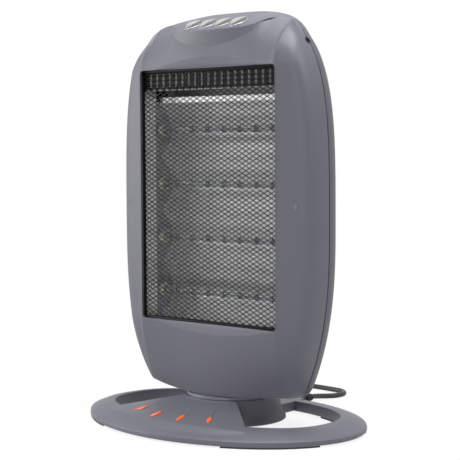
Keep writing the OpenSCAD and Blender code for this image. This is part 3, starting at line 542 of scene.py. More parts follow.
# Finishes: name; colour, as a hex value or one of the user's colours; roughness; width and depth
# of the grain in mm; how much colour and roughness vary; metallic share; and what else differs
RECIPES = {
    # Moulded ABS with a fine spark-eroded grain: satin, with a broad soft sheen
    "shell": ("Moulded ABS, satin blue-grey", "shell", 0.46, 0.7, 0.035, 0.03, 0.05, {"worn": 0.5}),
    # The same plastic in a darker batch, a little less rubbed
    "rear": ("Moulded ABS, dark grey", "rear", 0.5, 0.8, 0.04, 0.03, 0.05, {"worn": 0.35}),
    # Button caps: smooth warm grey ABS, glossier where fingers press
    "button": ("Moulded ABS, warm light grey", "buttons",
               0.36, 1.1, 0.02, 0.04, 0.08, {"broad": 9, "worn": 0.6}),
    # Silver lacquer over ABS: a soft metallic glint
    "bezel": ("Silver lacquered ABS", "96969C",
              0.36, 0.5, 0.012, 0.05, 0.08, 0.45, {"broad": 12, "worn": 0.4}),
    # Expanded steel dipped in heat-proof enamel: black, softly glossy, slightly orange-peeled
    "enamel": ("Black enamelled steel", "08080A",
               0.5, 1.8, 0.05, 0.12, 0.08, {"broad": 20, "shader": {"Specular IOR Level": 0.18}}),
    # Sheet bent to a box and painted with heat-proof lacquer, dulled by heat in clouds
    "box": ("Black heat-proof lacquer", "0B0B0C",
            0.5, 1.4, 0.03, 0.2, 0.12, {"broad": 25, "shader": {"Specular IOR Level": 0.2}}),
    # Pressed ribs of the louvred plate: a lighter metallic grey with bright patches, painted light that
    # stands in for the light seen through the slots
    "louvre_painted_light": ("Louvre grey with painted light", "606064", 0.36, 1.2, 0.06, 0.75, 0.1, 0.6, {"broad": 5}),
    # Bright-rolled aluminium, dulled by heat: a broad sheen along the rolling lines
    "reflector": ("Bright rolled aluminium", "FCFCFC",
                  0.34, 1.2, 0.03, 0.04, 0.08, 0.7, {"squeeze": (0.06, 1, 1), "broad": 30}),
    # Aluminised sheet: pale metal with a soft spangle
    "sheet": ("Aluminised steel sheet", "A9ABAE", 0.42, 6, 0.01, 0.1, 0.1, 1.0, {"broad": 15}),
    # Drawn zinc-plated steel for screws, arm and clips
    "zinc": ("Zinc-plated steel", "B4B7BA", 0.34, 0.6, 0.01, 0.08, 0.08, 1.0, {"broad": 6}),
    # Fused quartz with a trace of bloom; clear, so what lies inside shows
    "quartz": ("Fused quartz", "F2F4F6",
               0.08, 4, 0.005, 0.02, 0.05, {"shader": {"Transmission Weight": 0.92, "IOR": 1.46}}),
    # Coiled tungsten wire, dark grey when cold
    "tungsten": ("Drawn tungsten", "6E6C68", 0.4, 0.4, 0.01, 0.1, 0.08, 1.0, {"broad": 5}),
    # Steatite: fine white ceramic, fired without much glaze
    "steatite": ("Fired steatite", "DDD7C9", 0.5, 0.8, 0.02, 0.05, 0.08, {"broad": 8}),
    # Glass-filled phenolic for switch bank and terminals
    "phenolic": ("Phenolic moulding", "3B3A3C", 0.45, 0.9, 0.03, 0.1, 0.06, {"broad": 14}),
    # Nylon of terminal strip and tilt bracket, slightly yellow
    "nylon": ("Natural nylon", "D8D3C4", 0.4, 1.2, 0.02, 0.05, 0.06, {"broad": 12}),
    # Orange ABS with a polished skin under a thin clear coat
    "inlay": ("Polished orange ABS", "inlays",
              0.25, 1.5, 0.01, 0.05, 0.06, {"broad": 7, "shader": {"Coat Weight": 0.4}}),
    # Soft rubber of feet, cord sleeve and tie, matt and a little dusty
    "rubber": ("Moulded rubber", "1D1D1F", 0.72, 0.7, 0.06, 0.15, 0.08, {"broad": 12}),
    # Flexible PVC sheath of cord and leads: black with a low sheen
    "sheath": ("Black PVC sheath", "141416", 0.38, 0.9, 0.03, 0.15, 0.08, {"broad": 18}),
    # Rigid black plug moulding with fine texture
    "plug": ("Black moulded plug", "19191B",
             0.42, 0.5, 0.05, 0.1, 0.06, {"broad": 12, "worn": 0.4}),
    # Brass of the plug's pins, lightly dulled by the hand
    "brass": ("Turned brass", "C9A45A",
              0.28, 0.5, 0.01, 0.08, 0.1, 1.0, {"squeeze": (1, 1, 0.1), "broad": 6}),
    # Acetal bush: waxy, off-white
    "acetal": ("Acetal", "E4E1D8", 0.35, 1.0, 0.01, 0.03, 0.05, {"broad": 10}),
}
FINISHES = {}


def finish(key):
    """The heater's finishes, each made once."""
    if key not in FINISHES:
        name, colour, *numbers, more = RECIPES[key]
        FINISHES[key] = finish_of(name, getattr(colours(), colour, colour), *numbers, **more)
    return FINISHES[key]


# CAD nodes that stay as they are: node, finish
PLAIN_NODES = {
    "mesh_frame": "enamel", "heat_box": "box", "rear_heat_shield": "sheet",
    "quartz_tubes": "quartz", "ceramic_ends": "steatite", "tube_brackets": "sheet",
    "switch_bank": "phenolic", "terminal_block": "nylon", "thermal_cutout": "zinc",
    "tilt_bracket": "nylon", "tilt_weight": "zinc", "side_screws": "zinc", "shell_screws": "zinc",
    "head_lead": "sheath", "neck_collar": "shell", "pivot_tube": "rear", "swing_arm": "zinc",
    "pivot_washer": "zinc", "pivot_clip": "zinc", "foot_pads": "rubber", "under_cover": "rear",
    "base_screws": "zinc", "swing_motor": "zinc", "drive_crank": "phenolic", "pivot_bush": "acetal",
    "inner_lead": "sheath", "plug_pins": "brass",
}


# ---- Camera, then the cord ----
CAM_AZ, CAM_EL, CAM_ROLL, CAM_DIST, CAM_F_PX = 40.0, 3.8, -0.31, 1383.4, 1320.1
CAM_LOOK = (9.07, 0.0, 202.55)
PHOTO_PX = 460


class HEATER_OT_camera(bpy.types.Operator):
    """Camera at the photograph's viewing angle."""

    bl_idname = "heater.camera"
    bl_label = "Camera"

    def execute(self, context):
        a, e, r = (radians(v) for v in (CAM_AZ, CAM_EL, CAM_ROLL))
        back = Vector((sin(a) * cos(e), -cos(a) * cos(e), sin(e)))
        right = Vector((cos(a), sin(a), 0))
        up = back.cross(right)
        x_axis, y_axis = right * cos(r) + up * sin(r), up * cos(r) - right * sin(r)
        clear()
        bpy.ops.object.camera_add()
        camera = newest("camera")
        turn = Matrix((x_axis, y_axis, back)).transposed().to_4x4()
        spot = (Vector(CAM_LOOK) + back * CAM_DIST) * MM
        camera.matrix_world = Matrix.Translation(spot) @ turn
        camera.data.sensor_width = 36
        camera.data.lens = CAM_F_PX * 36 / PHOTO_PX
        camera.data.clip_start, camera.data.clip_end = 0.05, 50
        context.scene.camera = camera
        return {"FINISHED"}


CORD_Z, GLAND_X, CORD_D = 6.0, 15.0, 6.0
COIL_AT, COIL_OUT, COIL_Z, COIL_TURNS, COIL_STEP = (-105.0, 158.0), 43.0, 4.0, 6, 6.7
# Straight end of the cord from the coil to the plug, and the middle of the plug's body from there
TAIL_LEN, PLUG_MID = 44.0, 36
COIL_END_Y = COIL_AT[1] + COIL_OUT
CORD_ROUTE = [Vector(p) for p in (
    (GLAND_X, 110, CORD_Z), (GLAND_X, 124, CORD_Z), (GLAND_X, 138, CORD_Z), (16, 150, 4.7),
    (19, 162, 3.4), (24, 174, 3.1), (23, 187, 3.1), (13, 197, 3.1), (-4, 200, 3.1),
    (-22, COIL_END_Y, 3.2), (-40, COIL_END_Y, 3.3), (-58, COIL_END_Y, 3.5),
    (-76, COIL_END_Y, 3.9), (-88, COIL_END_Y, COIL_Z), (COIL_AT[0] + CORD_D, COIL_END_Y, COIL_Z))]


def along(route, t):
    """A point of the smooth curve through a route."""
    n = len(route) - 1
    i = min(n - 1, int(t * n))
    return spline_pt(route[max(0, i - 1)], route[i], route[i + 1], route[min(n, i + 2)], t * n - i)


def coil_pt(t):
    """Spirals in on the floor, climbs a layer where it turns back, and spirals out above."""
    half = COIL_TURNS / 2
    r = COIL_OUT - COIL_STEP * (half - abs(t - half))
    a = pi / 2 + 2 * pi * t
    return Vector((COIL_AT[0] + r * cos(a), COIL_AT[1] + r * sin(a),
                   COIL_Z + COIL_STEP * smooth((t - half + 0.25) * 2)))


def cord_points():
    """The cord's middle line: its free run, its coil and its straight end."""
    free = [along(CORD_ROUTE, k / 120) for k in range(121)]
    coil = [coil_pt(k / 40) for k in range(40 * COIL_TURNS + 1)]
    tail = [Vector((COIL_AT[0] - TAIL_LEN * k / 6, COIL_END_Y, COIL_Z + COIL_STEP))
            for k in range(1, 8)]
    return free + coil + tail


class HEATER_OT_cord(bpy.types.Operator):
    """Mains cord with its sleeve, its coil, its tie and its plug."""

    bl_idname = "heater.cord"
    bl_label = "Mains cord"

    def execute(self, context):
        # Ribbed sleeve that tapers to the cord
        profile = [(112, 3.05), (112, 4), (121.6, 4), (121.7, 5.5), (122, 5.8), (123.6, 5.6),
                   (124.2, 5.1)]
        for k in range(4):
            y, r = 124.6 + 2.3 * k, 4.9 - 0.27 * k
            profile += [(y, r - 0.7), (y + 0.5, r - 0.7), (y + 0.8, r), (y + 1.7, r - 0.05),
                        (y + 2.0, r - 0.7)]
        profile += [(134, 3.35), (134, 3.05), (112, 3.05)]
        gland = softened(loft("cord_sleeve", [[(GLAND_X + r * cos(2 * pi * k / 40), y,
                                                CORD_Z + r * sin(2 * pi * k / 40))
                                               for k in range(40)] for y, r in profile]))
        dressed(gland, finish("rubber"), "base", "black_rubber", "cord_gland")

        # Plug: rounded body on its back, shoulder plate and pin sleeves; pins point up. Its corners
        # are walked in turn forwards and backwards, which keeps the outline going round
        at = Matrix.Translation((COIL_AT[0] - TAIL_LEN, COIL_END_Y, 0)) @ Matrix.Rotation(pi / 2, 4, "Z")
        corners = [(sx * (14 + 9 * cos(a)), PLUG_MID + sy * (13 + 9 * sin(a)))
                   for sx, sy, turn in ((1, 1, 0), (-1, 1, 1), (-1, -1, 0), (1, -1, 1))
                   for a in [pi / 2 * (k if not turn else 6 - k) / 6 for k in range(7)]]
        levels = ((0.94, 0.1), (0.985, 0.7), (1, 2), (1, 18.6), (0.985, 19.9), (0.94, 20.5))
        body = loft("plug_moulding", [[(x * f, mix(PLUG_MID, y, f), z) for x, y in corners]
                                      for f, z in levels], caps=True)
        face = block("plug_face", (-19, 17, 12), (19, 55, 22.1), 1.2)
        ribs = [block("plug_rib", (-23.05, 24 + 4.4 * k, 5), (23.05, 26 + 4.4 * k, 16), 0.6)
                for k in range(6)]
        # Neck that narrows to the cord, which comes in on the coil's upper layer
        upper = COIL_Z + COIL_STEP
        neck = tube("plug_neck", 5.0, 17, (0, 0, upper), (-90, 0, 0), 36)
        for v in neck.data.vertices:
            if v.co.y < 4 * MM:
                v.co.x *= 0.78
                v.co.z = mix(upper * MM, v.co.z, 0.78)
        sleeves = [block("pin_sleeve", (x - 3.2, 25, 20), (x + 3.2, 29, 32), 0.3) for x in (-11.1, 11.1)]
        plug = moved(joined([body, face, neck] + ribs + sleeves, "plug_moulding"), at)
        dressed(softened(plug), finish("plug"), "base", "black_plastic", "plug_body")

        # Tie: a flat band round the bundle of turns
        low_r, high_r = COIL_OUT - COIL_STEP * 3 - 0.4 - 0.8, COIL_OUT + 0.8
        top = upper + 4.1
        mid_y, half_y = -(low_r + high_r) / 2, (high_r - low_r) / 2
        mid_z, half_z = top / 2 + 0.05, top / 2 - 0.05
        band = [(mid_y + half_y * signed_power(cos(2 * pi * k / 24), 0.4),
                 mid_z + half_z * signed_power(sin(2 * pi * k / 24), 0.4)) for k in range(24)]
        rows = [[(COIL_AT[0] + x, COIL_AT[1] + y, z) for y, z in band] for x in (-4.5, -4.2, 4.2, 4.5)]
        tie = shaped(loft("coil_tie", rows, out=(0, 0, 1)), "SOLIDIFY", thickness=0.8 * MM, offset=-1)
        dressed(softened(tie), finish("rubber"), "base", "black_rubber", "cord_tie")

        # Cord: one smooth curve from the sleeve to the plug
        points = cord_points()
        data = bpy.data.curves.new("mains_lead", "CURVE")
        data.dimensions = "3D"
        spline = data.splines.new("POLY")
        spline.points.add(len(points) - 1)
        for p, q in zip(spline.points, points):
            p.co = (*(q * MM), 1)
        data.bevel_depth = sizes().cord_d / 2 * MM
        data.bevel_resolution = 4
        data.use_fill_caps = True
        lead = bpy.data.objects.new("mains_lead", data)
        context.collection.objects.link(lead)
        dressed(lead, finish("sheath"), "base", "cord_black", "mains_cord", "cord_coil")
        return {"FINISHED"}


# ---- Head ----
# Width of the opening's plain edge, where a crescent has run out, and how the face bends back
EDGE_W, FACE_BEND = 0.9, 1.74
# Lower edge and half the width of the scoop under the deck's edge
SCOOP_LOW, SCOOP_HALF = 392.5, 58
# How sharply the cheek leaves the ridge, and the station at which that has faded by half
CREASE, CREASE_AT = 0.3, 27.5


def crescent_edge(x, top):
    """How far the shallow crescent reaches above or below the opening at an x."""
    tall, fall, middle, half = (10.6, 11, 4, 76) if top else (9.6, 10, 8, 84)
    return EDGE_W + max(0, tall - fall * ((x - middle) / half) ** 2)


def face_marks(i, side, g, r):
    """Where crescent and scoop end on the way from lip to ridge, and how deep each is in mm."""
    x = side * mix(g.x, r.x, 0.3)
    upper = i > (SIDE_AT + HIGH_AT) / 2
    if upper:
        beside = smooth(1 - run(i, HIGH_AT, TOP_AT)) if i < TOP_AT else 0
    else:
        beside = smooth(run(i, LOW_AT, SIDE_AT)) if i > LOW_AT else 0
    arc = mix(crescent_edge(x, upper), EDGE_W, beside)
    far, hollow = mix(0.93, 0.72, beside), 0
    if upper:
        scoop_z = SCOOP_LOW + 0.0055 * (x - 1) ** 2
        edge = (scoop_z - OPEN_TOP) / (r.z - OPEN_TOP) if r.z > OPEN_TOP + 5 else 0.93
        far = mix(min(0.95, edge), 0.72, beside)
        hollow = sizes().scoop * power(1 - ((x - 1) / SCOOP_HALF) ** 2, 0.8) * (1 - beside)
    near = min(arc / (r - g).length, 0.5)
    return near, max(far, near + 0.12), sizes().crescent * (arc - EDGE_W) / 10, hollow


def face_profile(i, side, e=0.0):
    """Rows of the front face at a station from the opening's lip to the ridge, e mm inside it."""
    g, r = open_pt(i), inset(eased(ridge_pt, i), e * 0.5)
    near, far, dip, hollow = face_marks(i, side, g, r)
    hold = min(0.35 / (r - g).length, near / 8)
    if e:
        stops = [0, near, mix(near, far, 0.5), far, 1]
    else:
        stops = [0, near / 8, near / 4, near / 2, near - hold, near, near + hold]
        stops += [mix(near + hold, far - hold, k / 5) for k in range(1, 6)] + [far, far + hold]
        stops += [mix(far + hold, 1, k / 4) for k in range(1, 5)]
    rows = []
    for n, t in enumerate(stops):
        p = Vector((mix(g.x, r.x, t), mix(g.y, r.y, t ** FACE_BEND) + e, mix(g.z, r.z, t)))
        if not e:
            # The opening's own edge is rounded, and the crescent slopes in to it
            p.y += (0.8, 0.15)[n] if n < 2 else 0
            p.y += dip * max(0, 1 - t / near)
        if near < t < far:
            p.y += hollow * (t - near) / (far - near)
        elif t >= far:
            p.y += hollow * (1 - t) / (1 - far)
        rows.append(p)
    return rows


CHEEK_ANGLES = [0.06, 0.4, 1.4, 3] + [3 + 84 * k / 20 for k in range(1, 21)] + [88.6, 89.6, 89.95]


def cheek_profile(i, e=0.0):
    """Rows of the cheek at a station, from the ridge back to the seam, e mm inside it."""
    r, s, n = inset(eased(ridge_pt, i), e * 0.5), inset(eased(seam_pt, i), e), fullness(i)
    # The cheek leaves the ridge at an angle, which fades out along the deck
    crease = CREASE * smooth((CREASE_AT + 1 - i) / 2)
    rows = []
    for angle in ([10 + 10 * k for k in range(8)] if e else CHEEK_ANGLES):
        a, b = sin(radians(angle)) ** (2 / n), cos(radians(angle)) ** (2 / n)
        b *= 1 - crease * a * (1 - a)
        rows.append(Vector((mix(r.x, s.x, a), mix(s.y, r.y + e, b), mix(r.z, s.z, a))))
    rows.append(s if e else inset(s, 0.35))
    return rows


def front_column(i, side):
    """Front shell at a station: out along its face and cheek, and back along its inside."""
    return (face_profile(i, side) + cheek_profile(i)
            + cheek_profile(i, WALL)[::-1] + face_profile(i, side, WALL)[::-1])


def mirrored(p, side):
    """The same point on the side, 1 or -1, that is asked for."""
    return (p.x * side, p.y, p.z)


class HEATER_OT_front_shell(bpy.types.Operator):
    """Front shell: face, crescents, scoop, ridge, cheeks and deck in one moulding."""

    bl_idname = "heater.front_shell"
    bl_label = "Front shell"

    def execute(self, context):
        columns = [[mirrored(p, side) for p in front_column(i, side)]
                   for i, side in stations(FRONT_FINE)]
        rows = [list(row) for row in zip(*columns)]
        shell = loft("front_moulding", rows + rows[:1], out=(1, 0, 0))
        outline = leaf(BUTTON_LEN + 2.0, BUTTON_W + 3.2)
        holes = [moved(loft("deck_cut", [[(x, y, z) for x, y in outline] for z in (-9, 9)], caps=True),
                       spot) for spot in button_spots()]
        carved(shell, joined(holes, "deck_cut"))
        carved(shell, cheek_holes())
        carved(shell, neck_cutter())
        softened(shell, 38)
        dressed(shell, finish("shell"), "head", "grey_shell", "front_shell")
        # Screw seats at the bottom of the holes in the cheeks, and the posts behind the seam
        seats = [tube("seat", 5.6, 2.4, (s * 95.4, SEAM_Y - 1.1, SCREW_Z), (0, s * 90, 0), 36, 0.4)
                 for s in (-1, 1)]
        half_space = block("front_half", (-110, SEAM_Y - 14, 380), (110, SEAM_Y - 0.2, 410))
        posts = [tube("post", 3.2, 29 - start, (x, start, z), (-90, 0, 0), 28, 0.3)
                 for (x, z), start in zip(side_posts(), (-23.5, -24, -24.6) * 2)]
        seats = carved(joined(seats, "screw_seats"), half_space, "INTERSECT")
        dressed(softened(joined([seats] + posts, "screw_posts")), finish("shell"), "head",
                "grey_shell")
        return {"FINISHED"}


# How far the back's rounding draws in from the seam to the flat panel
DOME_IN = 62
SLOT_PITCH, SLOT_ROWS, SLOT_HALF, SLOT_R = 11, (300, 228, 156), 24, 2.5


def dome_pt(i, t, e=0.0):
    """A point of the rear shell's rounded back, e mm inside it; t runs from 0 at the seam to 90."""
    s = eased(seam_pt, i)
    d = 1 - cos(radians(t))
    draw = DOME_IN if s.z > MID_Z else mix(26, DOME_IN, smooth((s.z - 40) / 120))
    return Vector((s.x * (1 - (DOME_IN * d + e) / HEAD_HALF),
                   mix(s.y + 1.8, REAR_Y - e, sin(radians(t))),
                   MID_Z + (s.z - MID_Z) * (1 - (draw * d + e) / 200)))


def rear_rows():
    """Rings of the rear shell's outside, from its rim inside the shadow groove to its flat panel."""
    rows = []
    for e, y in ((3.1, 0.1), (1.5, 0.1), (1.3, 0.3), (1.3, 1.3), (1.1, 1.5), (0.35, 1.55)):
        rows.append([mirrored(inset(eased(seam_pt, i), e) + Vector((0, y, 0)), side)
                     for i, side in stations(REAR_FINE)])
    for t in [0.6, 2] + [2 + 88 * k / 20 for k in range(1, 21)]:
        rows.append([mirrored(dome_pt(i, t), side) for i, side in stations(REAR_FINE)])
    # A shallow step round the panel that holds the slots
    for e, sunk in ((9, 0), (9.5, 0.2), (10.2, 0.7)):
        rows.append([mirrored(dome_pt(i, 90, e) + Vector((0, e - sunk, 0)), side)
                     for i, side in stations(REAR_FINE)])
    return rows


class HEATER_OT_rear_shell(bpy.types.Operator):
    """Rear shell: shadow groove, rounded back, slots and screw recesses."""

    bl_idname = "heater.rear_shell"
    bl_label = "Rear shell"

    def execute(self, context):
        rows = rear_rows()
        solid = loft("rear_solid", rows, caps=True, out=(0, 1, 0))
        inner = WALL + 0.6
        hollow = [[mirrored(dome_pt(i, 90 * k / 9, inner), side) for i, side in stations(REAR_FINE)]
                  for k in range(10)]
        shell = loft("rear_moulding", hollow[::-1] + rows, caps=True, out=(0, 1, 0))
        # Upright slots with round ends, in rows
        half_slot = [(SLOT_R * cos(pi * k / 8), SLOT_HALF + SLOT_R * sin(pi * k / 8)) for k in range(9)]
        outline = half_slot + [(-x, -z) for x, z in half_slot]
        slot = loft("slot", [[(x, y, z) for x, z in outline] for y in (REAR_Y - 8, REAR_Y + 8)],
                    caps=True)
        slots = [copied(slot, "slots", Matrix.Translation((n * SLOT_PITCH, 0, z)))
                 for z in SLOT_ROWS for n in range(-5, 6)]
        bpy.data.objects.remove(slot)
        carved(shell, joined(slots, "slots"))
        # Tubes that the shell's screws sit in, cut to the shell's own outer face
        wells = carved(post_tubes("wells", 5.4, 30, 29.1), solid, "INTERSECT")
        carved(shell, post_tubes("well_cut", 5.2, 40, 29.1))
        carved(wells, post_tubes("well_bore", 4, 40, 31.6))
        carved(wells, post_tubes("screw_way", 1.7, 40, 20))
        carved(shell, cheek_holes())
        carved(shell, neck_cutter())
        dressed(softened(shell, 38), finish("rear"), "head", "dark_shell", "rear_shell")
        dressed(softened(wells, 38), finish("rear"), "head", "dark_shell")
        return {"FINISHED"}


class HEATER_OT_guard_mesh(bpy.types.Operator):
    """Guard mesh: fine diamonds of expanded steel."""

    bl_idname = "heater.guard_mesh"
    bl_label = "Guard mesh"

    def execute(self, context):
        low, high = (Vector(p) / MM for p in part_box("guard_mesh"))
        cols, rows, w = sizes().mesh_cols, sizes().mesh_rows, sizes().strand
        cw, ch = (high.x - low.x) / cols, (high.z - low.z) / rows
        mid_y, rim_w, lap = (low.y + high.y) / 2, 3, 0.4
        thick = Vector((0, 0.38, 0))
        bars = []
        # The two strands that cross at each cell's middle, each turned a little as expanding does
        for sign in (1, -1):
            run_x, run_z = cw / 2, ch / 2 * sign
            across = Vector((-run_z, 0, run_x)).normalized() * w / 2 + Vector((0, 0.16 * sign, 0))
            ends = []
            for k in (-1, 1):
                centre = Vector((low.x + cw / 2 + k * run_x, mid_y, low.z + ch / 2 + k * run_z))
                ends.append([centre + across + thick, centre + across - thick,
                             centre - across - thick, centre - across + thick])
            bars.append(loft("strand", ends))
        mesh = joined(bars, "mesh_strands")
        shaped(mesh, "ARRAY", count=cols, use_relative_offset=False, use_constant_offset=True,
               constant_offset_displace=(cw * MM, 0, 0))
        shaped(mesh, "ARRAY", count=rows, use_relative_offset=False, use_constant_offset=True,
               constant_offset_displace=(0, 0, ch * MM))
        # Keep the strands inside the sheet's own edge
        for v in mesh.data.vertices:
            v.co.x = min(high.x * MM, max(low.x * MM, v.co.x))
            v.co.z = min(high.z * MM, max(low.z * MM, v.co.z))
        between = rim_w - lap
        rim = [block("rim", a, b, 0.25) for a, b in (
            ((low.x, low.y, low.z), (low.x + rim_w, high.y, high.z)),
            ((high.x - rim_w, low.y, low.z), (high.x, high.y, high.z)),
            ((low.x + between, low.y, low.z), (high.x - between, high.y, low.z + rim_w)),
            ((low.x + between, low.y, high.z - rim_w), (high.x - between, high.y, high.z)))]
        dressed(softened(joined([mesh] + rim, "mesh_strands"), weighted=False), finish("enamel"),
                "head", "black_steel", "guard_mesh")
        return {"FINISHED"}


# Black plate behind the mesh's top: half its width, its foot, top and front, and its louvres
PLATE_HALF, PLATE_LOW, PLATE_TOP, PLATE_Y, LOUVRE_PITCH, LOUVRES = 90.4, 350, 369, -22.2, 9, 19
TOOTH_PITCH, TEETH = 4.5, 41


def row_of(name, count, pitch, half_w, low, high, edge):
    """Small upright blocks in a row about the middle; low and high are their y and z."""
    spots = [(n - (count - 1) / 2) * pitch for n in range(count)]
    return joined([block(name, (x - half_w, *low), (x + half_w, *high), edge) for x in spots], name)


class HEATER_OT_reflector(bpy.types.Operator):
    """Reflector with smooth troughs and flared ends, and the louvred plate above it."""

    bl_idname = "heater.reflector"
    bl_label = "Reflector"

    def execute(self, context):
        low = LAMP_LOW - LAMP_PITCH / 2
        top = low + LAMPS * LAMP_PITCH
        profile = []
        for n in range(LAMPS):
            for k in range(0 if n == 0 else 1, 25):
                u = 2 * k / 24 - 1
                profile.append((LIP_Y + 1.1 + TROUGH_DEEP * (1 - u * u),
                                low + (n + k / 24) * LAMP_PITCH))
        profile += [(LIP_Y + 1.2, top + 1), (LIP_Y + 1.2, LIP_Z - 8)]
        across = [mix(-REFL_X, REFL_X, k / 8) for k in range(9)]
        rows = [[(x, y, z) for x in across] for y, z in profile]
        sheet = loft("reflector_sheet", rows, closed=False, out=(0, -1, 0))
        shaped(sheet, "SOLIDIFY", thickness=0.7 * MM, offset=-1)
        dressed(softened(sheet, 50), finish("reflector"), "head", "bright_aluminium", "reflector")
        # Bright flares that bring its ends forward to the guard mesh
        flares = []
        for side in (-1, 1):
            rows = [[(side * x, y, z) for z in [mix(106, 349, k / 6) for k in range(7)]]
                    for x, y in ((88, -7.5), (89, -13), (90.8, -21.8))]
            flares.append(loft("flare", rows, closed=False, out=(-side, -0.2, 0)))
        flares = shaped(joined(flares, "end_flares"), "SOLIDIFY", thickness=0.5 * MM, offset=-1)
        dressed(softened(flares), finish("reflector"), "head", "bright_aluminium")
        # The plate, its upright louvres and the bright teeth of its cut lower edge
        plate = block("louvre_plate", (-PLATE_HALF, PLATE_Y, PLATE_LOW),
                      (PLATE_HALF, PLATE_Y + 0.7, PLATE_TOP))
        dressed(softened(plate), finish("box"), "head", "black_steel")
        # The louvres' lighter grey with bright patches is painted light, for the light that shows
        # through the slots
        bars = row_of("louvres", LOUVRES, LOUVRE_PITCH, 1.3, (PLATE_Y - 0.5, PLATE_LOW + 3),
                      (PLATE_Y + 0.2, PLATE_TOP - 2), 0.3)
        dressed(softened(bars), finish("louvre_painted_light"), "head", "black_steel")
        teeth = row_of("bare_edge", TEETH, TOOTH_PITCH, 1.6, (PLATE_Y - 0.4, PLATE_LOW - 1.1),
                       (PLATE_Y + 0.8, PLATE_LOW + 0.4), 0.3)
        dressed(softened(teeth), finish("sheet"), "head", "black_steel")
        return {"FINISHED"}


class HEATER_OT_lamps(bpy.types.Operator):
    """Coiled filaments with their rod and ring supports."""

    bl_idname = "heater.lamps"
    bl_label = "Filaments"

    def execute(self, context):
        turns, reach, coil_r, wire_r = 64, 80.0, 1.35, 0.28
        centre = [Vector((mix(-reach, reach, k / (turns * 10)), coil_r * cos(2 * pi * k / 10),
                          coil_r * sin(2 * pi * k / 10))) for k in range(turns * 10 + 1)]
        rows = []
        for k, p in enumerate(centre):
            outward = Vector((0, p.y, p.z)).normalized()
            rows.append([p + Vector((wire_r * cos(a), 0, 0)) + outward * wire_r * sin(a)
                         for a in [2 * pi * j / 5 for j in range(5)]])
        coil = loft("coil", rows, caps=True)
        rings = [tube("disc", 3.85, 0.7, (x, 0, 0), (0, 90, 0), 20, 0.15) for x in range(-66, 67, 22)]
        leads = [tube("lead", 0.7, 14, (start, 0, 0), (0, 90, 0), 10) for start in (-80, 66)]
        one = joined([coil] + rings + leads, "filament")
        lamps = [copied(one, "filament",
                        Matrix.Translation((0, LAMP_Y, LAMP_LOW + n * LAMP_PITCH)))
                 for n in range(LAMPS)]
        bpy.data.objects.remove(one)
        dressed(softened(joined(lamps, "filament_coils"), 60, False), finish("tungsten"), "head",
                "filament_wire", "lamp_filaments")
        return {"FINISHED"}


# ---- Controls ----
CROWN_H, CROWN_R = 4.6, 46


def crown(y):
    """Height of a button's crowned top above the deck."""
    return CROWN_H - CROWN_R + sqrt(CROWN_R * CROWN_R - y * y)


class HEATER_OT_controls(bpy.types.Operator):
    """Four push buttons, each in its bezel."""

    bl_idname = "heater.controls"
    bl_label = "Buttons and bezels"

    def execute(self, context):
        # Button: from its flat foot up to the edge, and in over the dished crown
        outline = leaf(BUTTON_LEN, BUTTON_W, 24)
        levels = ((1.0, -1.0), (0.985, -0.45), (0.95, -0.12), (0.9, 0.0), (0.7, 0.0), (0.5, -0.25),
                  (0.25, -0.5), (0.02, -0.6))
        foot = [(x, y, -6) for x, y in outline]
        rows = [[(x * f, y * f, crown(y * f) + drop) for x, y in outline] for f, drop in levels]
        cap = loft("button", [foot] + rows, caps=True)
        stem = tube("stem", 2, 7.2, (0, 0, -12), sides=24, edge=0.3)
        button = joined([cap, stem], "button")
        softened(button, 40)
        # Bezel: a rounded rim round each button, from its inner edge over to its outer one
        section = ((0.0, -3.0), (0.0, 0.9), (0.35, 1.3), (0.8, 1.4), (1.35, 1.3), (1.9, 0.85),
                   (2.1, 0.3), (2.1, -3.0))
        inner = leaf(BUTTON_LEN + 1.4, BUTTON_W + 2.2, 24)
        outer = leaf(BUTTON_LEN + 3.6, BUTTON_W + 5.4, 24)
        ring = []
        for off, z in section + section[:1]:
            f = off / section[-1][0]
            ring.append([(mix(a[0], b[0], f), mix(a[1], b[1], f), z) for a, b in zip(inner, outer)])
        bezel = softened(loft("bezel", ring), 40)
        bezels = []
        for n, spot in enumerate(button_spots(), 1):
            part = copied(button, f"button_cap_{n}", spot)
            dressed(part, finish("button"), f"push_{n}", "button_grey", f"button_{n}")
            bezels.append(copied(bezel, "bezels", spot))
        bpy.data.objects.remove(button)
        bpy.data.objects.remove(bezel)
        dressed(joined(bezels, "bezel_rims"), finish("bezel"), "head", "bezel_silver", "button_bezels")
        return {"FINISHED"}


# ---- Base ----
# How much lower the ring's top gets for each mm towards the back
RING_LEAN = 0.0017


def oval(angle, inn, z):
    """A point of the base ring, a given way in from its rim; angle in degrees."""
    c, s = cos(radians(angle)), sin(radians(angle))
    n = mix(1.92, 2.4, inn / RING_BAND)
    x = (BASE_W / 2 - inn) * signed_power(c, 2 / n)
    y = (BASE_D / 2 - inn * 1.25) * signed_power(s, 2 / n)
    return Vector((x, y, z - max(0, z - PAD_H) * y * RING_LEAN))


# Section of the ring from its rim over its top: way in and height
RING_SECTION = [(0.8, PAD_H), (0.1, 2.2), (0, 2.8), (0.05, 5.0), (0.5, 6.1), (1.6, 6.9), (8, 8.95),
                (16, 11.9), (24, 13.7), (29.5, 14.3), (31.2, 14.2), (31.8, 13.8), (32, 13.1),
                (32, PAD_H), (29.4, PAD_H), (29.4, RING_H - 3.2), (17, 9.4), (4, 4.4), (3.6, PAD_H)]
# Half angles of the fan plate at hub, crest and rim, in degrees, and its thickness
FAN_HUB, FAN_CREST, FAN_RIM, PLATE_T = 43.0, 34.5, 39.5, 2.4
# Where the plate is past its crest: step k, share of the fan's spread, way in and height
FAN_STOPS = ((4, 0, RING_BAND, 19.5), (5, 0.35, 24, 18.1), (6, 0.7, 16, 16.0), (7, 1, 7, 8.65))


